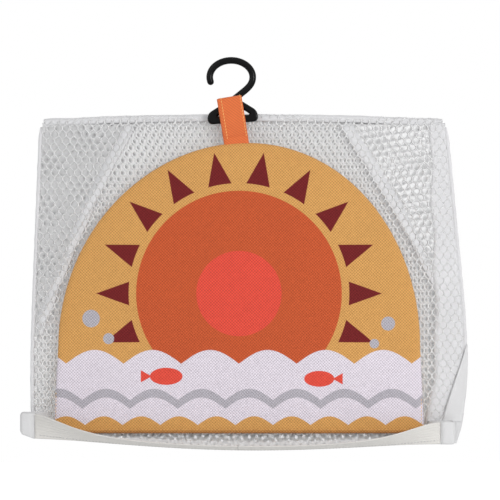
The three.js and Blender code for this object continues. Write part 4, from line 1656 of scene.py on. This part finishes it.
    def bottom_fold(self) -> Piece:
        """Knits the soft fold at the bag's bottom, which joins the two walls.

        Returns:
            The fold.
        """
        low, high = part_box("bag_bottom_fold")
        radius = self.fold_radius - self.fold_ease
        arc = math.pi * radius

        def place(u: Array, v: Array) -> Array:
            """The fold's surface, from the back wall round to the front one."""
            rise = np.sin(v / radius) * (radius + self.fold_swell * np.sin(u / (19 * MM)))
            return np.column_stack([u, self.fold_middle - np.cos(v / radius) * radius,
                                    self.crest(u) - self.fold_radius + rise])

        made = self.fabric.cloth("net_bottom_fold", (low.x, 0.0, high.x, arc), place, 5.0)
        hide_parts("bag_bottom_fold")
        self.bridge(made, self.fold_bend)
        return made

    def fold_lining(self) -> Piece:
        """Makes the soft strip of cloth that lines the bottom fold.

        Returns:
            The lining.
        """
        low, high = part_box("bag_bottom_fold")
        radius = self.fold_radius - self.lining_ease
        leg = self.lining_leg
        outer = [(-radius, -leg)]
        outer += [(-math.cos(a) * radius, math.sin(a) * radius) for a in np.linspace(0, math.pi, 15)]
        outer += [(radius, -leg)]
        shrink = 1 - self.lining_ply / radius
        section = outer + [(y * shrink, z * shrink if z > 0 else z) for y, z in outer[::-1]]
        y, z = np.array(section).T
        x = np.linspace(low.x + self.lining_ends, high.x - self.lining_ends, 160)[:, None]
        soft = self.lining_wave * np.sin(x / (9 * MM)) * np.sin(x / (23 * MM))
        rings = grid(x, self.fold_middle + y, self.crest(x) - self.fold_radius + soft + z)
        made = skinned("bottom_fold_lining", rings, self.tape)
        self.bridge(made, self.fold_bend)
        return made

    def seam(self, side: Side, layer: str, body: str) -> Piece:
        """Makes one sewn side seam, a soft rounded roll of binding.

        Args:
            side: Its side.
            layer: back or front.
            body: bag, which it rides on, or bag_front, for which it stays where it is.

        Returns:
            The seam.
        """
        node = f"side_seam_{side.word}_{layer}"
        low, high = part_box(node)
        outer, inner = side_profile(node, side), side_profile(node, side, inner=True)
        z = np.linspace(low.z, high.z, 120)[:, None]
        step = np.arange(len(z))[:, None]
        angle = around(self.seam_points)
        wobble = self.seam_bulge * np.sin(step * 0.9) * np.sin(step * 0.23)
        centre = (outer(z) + inner(z)) / 2 + side.value * (wobble * 0.5 - self.seam_tuck)
        half = np.abs(outer(z) - inner(z)) / 2 + self.seam_ease
        inwards = np.minimum(step, step[::-1])
        end = np.minimum(1.0, self.seam_tip + (1 - self.seam_tip) * inwards / self.seam_tip_steps)
        rings = grid(centre + boxed(np.cos(angle)) * half * end,
                     (low.y + high.y) / 2 + boxed(np.sin(angle)) * (high.y - low.y) / 2 * end, z)
        made = skinned(f"side_binding_{side.word}_{layer}", rings, self.tape)
        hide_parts(node)
        self.follow(made, body)
        return made

    def seam_allowance(self) -> Piece:
        """Makes the right seam's allowance, a strip of cloth close behind the nearest net.

        Returns:
            The strip.
        """
        low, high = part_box("back_net_wall")
        z = np.linspace(low.z + self.allowance_foot, self.crest(high.x) - self.fold_radius, 90)[:, None]
        step = np.arange(len(z))[:, None]
        wave, growth = self.allowance_swell
        wide = self.allowance * (1 + wave * np.sin(step * 0.31) + growth * (1 - step / len(z)) ** 0.8)
        x = self.right(z) + self.allowance_edge - np.linspace(0, 1, 7) * wide
        front = grid(x, self.wall_back(x, z) - self.allowance_gap, z)
        made = skinned("seam_allowance_right", doubled(front, self.allowance_ply), self.tape)
        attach(made, "bag")
        return made

    def side_tape(self, plain: Material) -> Piece:
        """Makes the right side's binding tape, folded out in front of the net.

        Args:
            plain: The tape's cloth.

        Returns:
            The tape.
        """
        low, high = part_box("side_tape_right")
        points = points_of("side_tape_right")
        edge = side_profile("side_seam_right_back", Side.RIGHT)
        foot_x = points[np.abs(points[:, 2] - low.z) < 0.1 * MM][:, 0].min()
        seam_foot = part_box("side_seam_right_back")[0].z
        rows, columns = 40, 9
        z = np.linspace(low.z - self.tape_run_on, high.z, rows)[:, None]
        s = np.linspace(0, 1, columns)
        t = (z - low.z) / (high.z - low.z)
        outer = edge(np.maximum(z, seam_foot)) + self.tape_edge
        inner = foot_x + (outer - self.tape_least - foot_x) * t
        lift = self.tape_crease * np.exp(-(s / 0.16) ** 2) + self.tape_wave * np.sin(6 * t + 3 * s)
        front = grid(inner + (outer - inner) * s, low.y + self.tape_inset - lift * (1 - t * 0.5),
                     z).reshape(-1, 3)
        count = rows * columns
        numbers = np.arange(count).reshape(rows, columns)
        faces = []
        for a in numbers[:-1, :-1].ravel():
            b = a + columns
            faces += [(a, a + 1, b + 1, b), (count + a, count + b, count + b + 1, count + a + 1)]
        rim = [*numbers[0], *numbers[1:, -1], *numbers[-1, -2::-1], *numbers[-2:0:-1, 0]]
        faces += [(a, count + a, count + b, b) for a, b in zip(rim, rim[1:] + rim[:1])]
        made = make_piece("side_tape", np.vstack([front, front + [0, self.tape_ply, 0]]), faces, [plain])
        face_outwards(made)
        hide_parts("side_tape_right")
        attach(made, "bag")
        return made

    def build(self, plain: Material) -> list[Piece]:
        """Builds the whole bag.

        Args:
            plain: The side tape's cloth.

        Returns:
            The pieces.
        """
        made = [self.wall("net_back_wall", "back_net_wall", "bag", self.wall_seed),
                self.wall("net_front_wall", "front_net_wall", "bag_front", self.front_seed)]
        for side in Side:
            made += [self.leaf(side, "inner", "bag", 3.1 + side.value),
                     self.leaf(side, "outer", "bag_front", 7.7 + side.value),
                     self.gusset_tape(side), self.seam(side, "back", "bag"),
                     self.seam(side, "front", "bag_front")]
        return made + [self.bottom_fold(), self.fold_lining(), self.seam_allowance(), self.side_tape(plain)]


@dataclass
class MouthBand:
    """The stiff ribbed webbing along the net's rim, its folded ends and the net's turn."""

    fabric: NetFabric
    width: float = 20.0 * MM
    thickness: float = 1.3 * MM
    left_drop: float = 1.0 * MM
    right_drop: float = 5.4 * MM
    sag: float = 6.6 * MM
    forward: float = 6.4 * MM
    roll: float = 76.0
    sag_power: float = 1.5
    roll_power: float = 5.4
    ribs: int = 8
    rib_height: float = 0.24 * MM
    right_pinch: float = 2.6 * MM
    pleat: float = 0.15
    left_slant: float = 4.2 * MM
    tail_reach: float = 6.0 * MM
    tail_ply: float = 0.34 * MM
    bend_reach: float = 72.0 * MM
    flap: float = 8.6 * MM
    cap_gap: float = 0.25 * MM
    cap_ply: float = 0.8
    cap_drop: float = 0.2 * MM
    cap_extra: float = 0.8 * MM
    cap_pinch: float = 1.25
    cap_pinch_from: float = 0.72
    cap_start: float = 0.4
    cap_round: float = 0.5
    edge_share: float = 0.03
    edge_rest: float = 0.3
    right_pinch_power: int = 5
    stitch_span: Pair = (0.015, 0.985)
    stitch: Stitch = Stitch(2.6 * MM, 1.5 * MM, 0.5 * MM)
    stitch_lift: float = 3.0 * MM
    stitch_gap: float = 0.05 * MM
    tail_rise: float = 3.0 * MM
    tail_drop: float = 0.4 * MM
    tail_gap: float = 0.62 * MM
    tail_wave: float = 0.12 * MM
    tail_outer: Pair = (1.7, 1.6)
    tail_inner: Pair = (6, 7.5)
    turn_gap: float = 0.5 * MM
    turn_seat: float = 0.2 * MM
    turn_ease: float = 0.4 * MM
    turn_bends: tuple[Pair, ...] = ((-5.2 * MM, -2.8 * MM), (-2.2 * MM, 11.0 * MM))
    turn_plies: float = 1.0 * MM
    turn_inset: float = 9.6 * MM
    turn_strands: Pair = (3.9 * MM, 3.2 * MM)
    turn_shares: tuple[Pair, ...] = (
        (0, 0.02), (0.015, 0.15), (0.04, 0.3), (0.07, 0.3), (0.1, 0.15), (0.13, 0), (0.2, -0.02),
        (0.45, 0.05), (0.75, 0.25), (0.95, 0.6), (1, 1))

    def __post_init__(self) -> None:
        """Reads the band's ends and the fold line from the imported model."""
        low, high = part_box("mouth_band")
        self.ends = (low.x, high.x)
        self.fold_z = joint_place("bag_unfold").z
        self.wall_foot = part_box("front_net_wall")[0].z
        self.wall_depth = NetBag.depth("front_net_wall")
        rows = np.column_stack([np.zeros(len(self.turn_shares)), self.turn_shares])
        self.turn_back, self.turn_up = smooth_route(rows, 80)[:, 1:].T
        self.split = float(np.argmax(self.turn_back > self.pleat)) / (len(self.turn_back) - 1)

    def station(self, share: Array) -> tuple[Array, Array, Array]:
        """Where the sewn edge lies along the band, and how far the band is rolled.

        Args:
            share: The place along the band, from 0 to 1.

        Returns:
            The place x, the sewn edge's height and the roll.
        """
        x = self.ends[0] + (self.ends[1] - self.ends[0]) * share
        drop = self.left_drop + (self.right_drop - self.left_drop) * share
        sag = self.sag * np.sin(math.pi * np.clip(share, 0, 1)) ** self.sag_power
        roll = math.radians(self.roll) * (1 - np.abs(2 * share - 1) ** self.roll_power)
        return x, self.fold_z - drop - sag, roll

    def breadth(self, share: Array) -> Array:
        """The band's width, which is pinched a little where its right end is sewn down."""
        return self.width - self.right_pinch * np.clip(2 * share - 1, 0, 1) ** self.right_pinch_power

    def bend(self, piece: Piece, side: Side) -> None:
        """Bakes the place of a piece of one half of the band into its points.

        Args:
            piece: The piece.
            side: Not used.
        """
        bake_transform(piece)

    def half(self, side: Side, start: float, end: float, cloth: Material) -> Piece:
        """Makes one half of the band.

        Args:
            side: Its side.
            start: The half's first place, as a share of the band.
            end: The half's last place.
            cloth: The webbing.

        Returns:
            The half band.
        """
        share = np.linspace(start, end, 90)
        x, z, roll = self.station(share)
        across = np.linspace(0, 1, 6 * self.ribs + 1)
        rib = self.rib_height * (0.5 - 0.5 * np.cos(2 * math.pi * across * self.ribs))
        edge = np.clip(np.minimum(across, 1 - across) / self.edge_share, self.edge_rest, 1)
        half = (self.thickness / 2 - self.rib_height) * edge + rib
        up = np.column_stack([0 * x, -np.sin(roll), np.cos(roll)])
        through = np.column_stack([0 * x, np.cos(roll), np.sin(roll)])
        sewn = np.column_stack([x, 0 * x - self.forward, z])
        wide = self.breadth(share)[:, None]
        made = skinned(f"band_{side.word}_half", two_faced(
            sewn, [up * a * wide for a in across], [-through * h for h in half]), cloth)
        add_uv(made, sewn, up, 0.0)
        if side is Side.LEFT:
            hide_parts("mouth_band")
        self.bend(made, side)
        return made

    def cap(self, side: Side, cloth: Material) -> Piece:
        """Makes one folded end of tape.

        Args:
            side: Its side.
            cloth: The tape's cloth.

        Returns:
            The end.
        """
        node = f"band_end_{side.word}"
        low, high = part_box(node)
        tip = (low.x, high.x)[side is Side.RIGHT]
        root = self.ends[side is Side.RIGHT]
        half = self.thickness / 2
        near, far = low.y + half, high.y - half
        middle, radius = (far + near) / 2, (far - near) / 2
        long = abs(tip - root) - half
        first, reach = long * self.cap_start, radius * self.cap_round
        route = [(self.cap_gap, near), (first, near)]
        route += [(long - reach + reach * math.cos(a), middle + radius * math.sin(a))
                  for a in np.linspace(-math.pi / 2, math.pi / 2, 14)]
        route = np.array(route + [(first, far), (-self.flap, far)])
        along = np.gradient(route, axis=0)
        normal = np.column_stack([along[:, 1], -along[:, 0]])
        normal /= np.linalg.norm(normal, axis=1, keepdims=True)
        ply = normal * half * self.cap_ply
        section = np.vstack([route + ply, (route - ply)[::-1]])
        end = np.array([0.5 + side.value / 2])
        bottom = float(self.station(end)[1][0]) - self.cap_drop
        tall = float(self.breadth(end)[0]) + self.cap_extra
        t = np.linspace(0, 1, 15)[:, None]
        out, deep = section.T
        out = out * (1 - self.cap_pinch * np.maximum(0.0, np.abs(2 * t - 1) - self.cap_pinch_from) ** 2)
        slant = self.left_slant * np.clip(out / long, 0, 1) * (1 - t) * (side is Side.LEFT)
        rings = grid(root + side.value * out, deep, bottom + tall * t + slant)
        made = skinned(f"band_cap_{side.word}", rings, cloth)
        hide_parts(node)
        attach(made, "panel")
        return made

    def tail(self, cloth: Material) -> Piece:
        """Makes the side tape's loose end, which runs on down behind the right end of the band.

        Args:
            cloth: The tape's cloth.

        Returns:
            The tail.
        """
        low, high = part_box("band_end_right")
        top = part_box("side_tape_right")[0].z + self.tail_rise
        bottom = float(self.station(np.array([1.0]))[1][0]) - self.tail_drop
        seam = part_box("side_seam_right_back")[0].y
        t = np.linspace(0, 1, 24)[:, None]
        s = np.linspace(0, 1, 9)
        least, bow = self.tail_outer
        outer = high.x + self.tail_reach * (1 - t) ** 1.5 + (least + bow * np.sin(math.pi * t)) * MM
        least, notch = self.tail_inner
        inner = low.x + (least + notch * np.maximum(0.0, 1 - 3 * t)) * MM
        soft = self.tail_wave * np.sin(4 * t + 5 * s)
        front = grid(inner + (outer - inner) * s, seam - self.tail_gap + soft, top + (bottom - top) * t)
        made = skinned("band_tail", doubled(front, self.tail_ply), cloth)
        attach(made, "panel")
        return made

    def turn(self, name: str, start: float, end: float, bodies: tuple[str, str],
             span: Pair, behind: float = 0.0) -> Piece:
        """Knits a part of the net's turn from the band back under the panel.

        Args:
            name: The piece's name.
            start: The part's first place along the route, from 0 to 1.
            end: Its last place.
            bodies: Not used.
            span: Not used.
            behind: How far above the first ply it lies.

        Returns:
            The net.
        """
        near = self.thickness / 2 - self.forward + self.turn_gap
        deep = self.wall_depth - near
        foot = self.wall_foot - self.turn_seat
        drop = foot - float(self.station(np.array([0.5]))[1][0]) - self.turn_ease
        long = float(np.hypot(np.diff(self.turn_back) * deep, np.diff(self.turn_up) * drop).sum())
        left, right = self.ends
        at = np.linspace(0, 1, len(self.turn_back))

        def fit(u: Array, v: Array) -> tuple[Array, Array]:
            """Keeps a place within the part, and clear of the caps."""
            return (np.clip(u, left + self.turn_inset, right - self.turn_inset),
                    np.clip(v, start * long, end * long))

        def place(u: Array, v: Array) -> Array:
            """The turn's surface."""
            z = self.station((u - left) / (right - left))[1] + self.turn_ease
            return np.column_stack([u, near + deep * np.interp(v / long, at, self.turn_back),
                                    z + (foot - z) * np.interp(v / long, at, self.turn_up) + behind])

        made = self.fabric.closer(*self.turn_strands).cloth(
            name, (left, start * long, right, end * long), place, 9.0 + behind / MM, 0.4 * behind / MM, fit)
        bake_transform(made)
        return made

    def build(self, webbing: Material, tape: Material, thread: Material) -> list[Piece]:
        """Builds the band, its ends, its stitches and the net's turn.

        Args:
            webbing: The band's ribbed cloth.
            tape: The ends' cloth.
            thread: The stitching thread.

        Returns:
            The pieces.
        """
        made = [self.half(Side.LEFT, 0.0, 0.5, webbing), self.half(Side.RIGHT, 0.5, 1.0, webbing),
                self.cap(Side.LEFT, tape), self.cap(Side.RIGHT, tape), self.tail(tape)]
        share = np.linspace(*self.stitch_span, 240)
        x, z, roll = self.station(share)
        lift = self.stitch_lift
        off = self.thickness / 2 + self.stitch_gap
        row = np.column_stack([x, -self.forward - np.sin(roll) * lift - np.cos(roll) * off,
                               z + np.cos(roll) * lift - np.sin(roll) * off])
        for side, part in ((Side.LEFT, row[:121]), (Side.RIGHT, row[120:])):
            stitches = sew(f"band_stitches_{side.word}", [part], thread, self.stitch)
            self.bend(stitches, side)
            made.append(stitches)
        under, over = self.turn_bends
        fore = self.turn("net_turn_fore", 0.0, self.split, ("band", "panel"), under)
        aft = self.turn("net_turn_aft", self.split, 1.0, ("panel", "bag"), over)
        ply = self.turn("net_turn_ply", self.split, 1.0, ("panel", "bag"), over, self.turn_plies)
        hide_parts("front_net_turn")
        return made + [fore, aft, ply]


@dataclass
class HemTape:
    """The tape behind the panel's lower edge, and the back net's fold from it."""

    fabric: NetFabric
    ply: float = 0.34 * MM
    strands: Pair = (3.3 * MM, 2.6 * MM)
    wave: float = 0.15 * MM
    net_gap: float = 0.25 * MM
    net_tuck: float = 3.0 * MM
    net_ease: float = 0.6 * MM
    shoulder: float = 0.97

    def build(self, cloth: Material) -> list[Piece]:
        """Builds the hem tape and the net's hem.

        Args:
            cloth: The tape's cloth.

        Returns:
            The pieces.
        """
        low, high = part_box("panel_hem_tape")
        half = (high.y - low.y) / 2
        tall = (high.z - low.z) / 2
        ply = self.ply
        shoulder = tall * self.shoulder
        section = [(-half, -tall), (-half, shoulder), (0.0, tall), (half, shoulder), (half, -tall),
                   (half - ply, -tall), (half - ply, tall - ply), (ply - half, tall - ply),
                   (ply - half, -tall)]
        deep, up = np.array(section).T
        x = np.linspace(low.x, high.x, 120)[:, None]
        rings = grid(x, (low.y + high.y) / 2 + deep,
                     (low.z + high.z) / 2 + up + self.wave * np.sin(x / (11 * MM)))
        tape = skinned("hem_tape", rings, cloth)
        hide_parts("panel_hem_tape")
        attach(tape, "panel")
        return [tape, self.net_hem(low, high)]

    def net_hem(self, low: Vector, high: Vector) -> Piece:
        """Knits the back net's lower edge: down from the hem tape, round and up to the wall.

        Args:
            low: The hem tape's lowest corner.
            high: The hem tape's highest corner.

        Returns:
            The net's hem.
        """
        wall = NetBag.depth("back_net_wall")
        wall_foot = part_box("back_net_wall")[0].z
        near = high.y + self.net_gap
        top = low.z + self.net_tuck
        bottom = joint_place("bag_unfold").z + self.net_ease
        radius = (wall - near) / 2
        down = top - bottom - radius
        arc = math.pi * radius
        long = down + arc + (wall_foot - bottom - radius)

        def place(u: Array, v: Array) -> Array:
            """The hem's surface."""
            angle = np.clip((v - down) / radius, 0, math.pi)
            return np.column_stack([u, (near + wall) / 2 - np.cos(angle) * radius, (
                bottom + radius - np.sin(angle) * radius + np.maximum(down - v, 0)
                + np.maximum(v - down - arc, 0))])

        made = self.fabric.closer(*self.strands).cloth("net_hem", (low.x, 0.0, high.x, long), place, 4.0)
        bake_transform(made)
        return made


@dataclass
class Studio:
    """The camera, the lamps, the floor, the backdrop and the white surroundings."""

    frame_width: float = 400.0 * MM
    aim_x: float = 15.0 * MM
    aim_z: float = -148.9 * MM
    lens: float = 135.0
    sensor: float = 36.0
    floor_z: float = -0.66
    floor_half: float = 3.0
    floor_glow: float = 0.75
    lamps: tuple[tuple[str, Triple, float, float], ...] = (
        ("key", (0.95, -1.35, 0.15), 0.4, 9.5), ("fill", (-0.9, -1.3, 0.5), 1.0, 3.2),
        ("back", (0.3, 1.6, 0.5), 1.2, 7.0))
    front_light: float = 0.62
    back_light: float = 0.55
    backdrop_gap: float = 9.0 * MM
    shade_reach: float = 26.0 * MM
    shade_grey: float = 0.4
    shade_range: Pair = (0.42, 0.66)
    backdrop_margin: float = 0.06
    backdrop_foot: float = -0.6

    def build(self) -> None:
        """Builds the studio."""
        scene = bpy.context.scene
        scene.view_settings.view_transform = "Standard"
        camera = add_object("camera", bpy.data.cameras.new("camera"))
        camera.data.lens = self.lens
        camera.data.sensor_width = self.sensor
        camera.data.clip_end = 50.0
        camera.location = (self.aim_x, -self.frame_width * self.lens / self.sensor, self.aim_z)
        camera.rotation_euler = (math.pi / 2, 0, 0)
        scene.camera = camera
        for name, place, size, power in self.lamps:
            self.lamp(name, place, size, power)
        self.world()
        self.floor()
        self.backdrop()

    def lamp(self, name: str, place: Triple, size: float, power: float) -> None:
        """Adds a soft square lamp that looks at the object.

        Args:
            name: The lamp's name.
            place: Where it stands.
            size: Its width.
            power: Its power in watts.
        """
        light = bpy.data.lights.new(name, "AREA")
        light.size = size
        light.energy = power
        lamp = add_object(name, light)
        lamp.location = place
        aim = Vector((self.aim_x, 0, self.aim_z)) - Vector(place)
        lamp.rotation_euler = aim.to_track_quat("-Z", "Y").to_euler()

    def world(self) -> None:
        """Makes the surroundings: white to the eye, and softly lit from the front more than the back."""
        world = bpy.data.worlds.new("studio")
        bpy.context.scene.world = world
        world.use_nodes = True
        world.node_tree.nodes.clear()
        pen = Pen(world.node_tree)
        rays = pen.node("ShaderNodeLightPath").outputs
        passed = pen.math("MAXIMUM", rays["Is Glossy Ray"], rays["Is Transmission Ray"])
        seen = pen.math("MAXIMUM", rays["Is Camera Ray"], passed)
        way = pen.out("Y", "ShaderNodeSeparateXYZ", {"Vector": pen.out("Generated", "ShaderNodeTexCoord")})
        share = pen.times_plus(way, 0.5, 0.5)
        soft = pen.times_plus(share, self.back_light - self.front_light, self.front_light)
        pen.node("ShaderNodeOutputWorld", {"Surface": pen.out("Background", "ShaderNodeBackground", {
            "Color": (1, 1, 1, 1), "Strength": pen.math("MAXIMUM", seen, soft)})})

    def card(self, corners: list[Triple], material: Material) -> None:
        """Makes one four-sided face of the studio, named as its material is."""
        make_piece(material.name, np.array(corners), [(0, 1, 2, 3)], [material], smooth=False)

    def floor(self) -> None:
        """Makes the pale floor, well under the bag when it is let down."""
        material, pen, shader = start_material("studio_floor")
        pen.fill(shader, {"Base Color": (0.9, 0.9, 0.9, 1), "Roughness": 0.9})
        glow = pen.out("Emission", "ShaderNodeEmission", {
            "Color": (1, 1, 1, 1), "Strength": self.floor_glow})
        both = pen.out("Shader", "ShaderNodeAddShader", {0: shader.outputs["BSDF"], 1: glow})
        seen = pen.out("Is Camera Ray", "ShaderNodeLightPath")
        pen.feed(pen.surface, pen.out("Shader", "ShaderNodeMixShader", {
            0: seen, 1: shader.outputs["BSDF"], 2: both}))
        half = self.floor_half
        self.card([(x * half, y * half, self.floor_z) for x, y in ((-1, -1), (1, -1), (1, 1), (-1, 1))],
                  material)

    def backdrop(self) -> None:
        """Makes the clear backdrop close behind the bag, which shows only the shade on it."""
        material, pen, shader = start_material("studio_backdrop")
        material.node_tree.nodes.remove(shader)
        near = pen.out("AO", "ShaderNodeAmbientOcclusion", {"Distance": self.shade_reach}, samples=24)
        shade = pen.out("Result", "ShaderNodeMapRange", {
            "Value": pen.minus(1.0, near), "From Min": self.shade_range[0],
            "From Max": self.shade_range[1], "To Min": 0.0, "To Max": 1.0}, clamp=True)
        front = pen.minus(1.0, pen.out("Backfacing", "ShaderNodeNewGeometry"))
        seen = pen.times(pen.out("Is Camera Ray", "ShaderNodeLightPath"), front)
        grey = pen.out("Emission", "ShaderNodeEmission", {
            "Color": (1, 1, 1, 1), "Strength": self.shade_grey})
        pen.feed(pen.surface, pen.out("Shader", "ShaderNodeMixShader", {
            0: pen.times(seen, shade), 1: pen.out("BSDF", "ShaderNodeBsdfTransparent"),
            2: grey}))
        margin, foot = self.backdrop_margin, self.backdrop_foot
        left, right = CAD_BOX[0][0] - margin, CAD_BOX[1][0] + margin
        y, top = CAD_BOX[1][1] + self.backdrop_gap, CAD_BOX[1][2] + margin
        self.card([(left, y, foot), (right, y, foot), (right, y, top), (left, y, top)], material)


def main() -> None:
    """Builds the organizer and its studio, in order."""
    logging.basicConfig(level=logging.INFO, format="%(message)s")
    panel = FacePanel()
    middle = (panel.middle_x, panel.bottom)
    printed = WovenFinish("printed_oxford", srgb(210, 156, 89), 2.42 * MM, printed=True, middle=middle,
                          contrast=0.62, depth=0.25 * MM).build()
    plain = WovenFinish("plain_oxford", srgb(210, 156, 89), 2.42 * MM, middle=middle, contrast=0.62,
                        depth=0.2 * MM).build()
    twill = WovenFinish("orange_twill", srgb(222, 114, 64), 2.5 * MM, twill=0.7, contrast=0.3,
                        grain=Grain.MAPPED).build()
    webbing = WovenFinish("white_webbing", srgb(222, 220, 216), 1.25 * MM, contrast=0.18,
                          grain=Grain.MAPPED).build()
    tape = WovenFinish("white_tape", srgb(222, 222, 223), 0.9 * MM, contrast=0.14).build()
    binding = WovenFinish("net_binding", srgb(222, 222, 224), 1.1 * MM, contrast=0.16, slub=0.5).build()
    thread = YarnFinish("yellow_thread", srgb(250, 200, 120)).build()
    white_thread = YarnFinish("grey_thread", srgb(186, 186, 188)).build()
    yarn = YarnFinish("net_yarn", srgb(243, 243, 244), glow=0.6).build()
    hook_plastic = PlasticFinish("black_plastic", srgb(9, 9, 10)).build()
    fabric = NetFabric(yarn)

    Studio().build()
    made = [HangerHook().build(hook_plastic)]
    made += HangingStrap().build(twill, thread)
    made += panel.build(printed, plain, thread)
    made += HemTape(fabric).build(tape)
    made += NetBag(fabric, binding).build(tape)
    made += MouthBand(fabric).build(webbing, tape, white_thread)
    for piece in made:
        LOG.info("%s: %d faces", piece.name, len(piece.data.polygons))


if __name__ == "__main__":
    main()
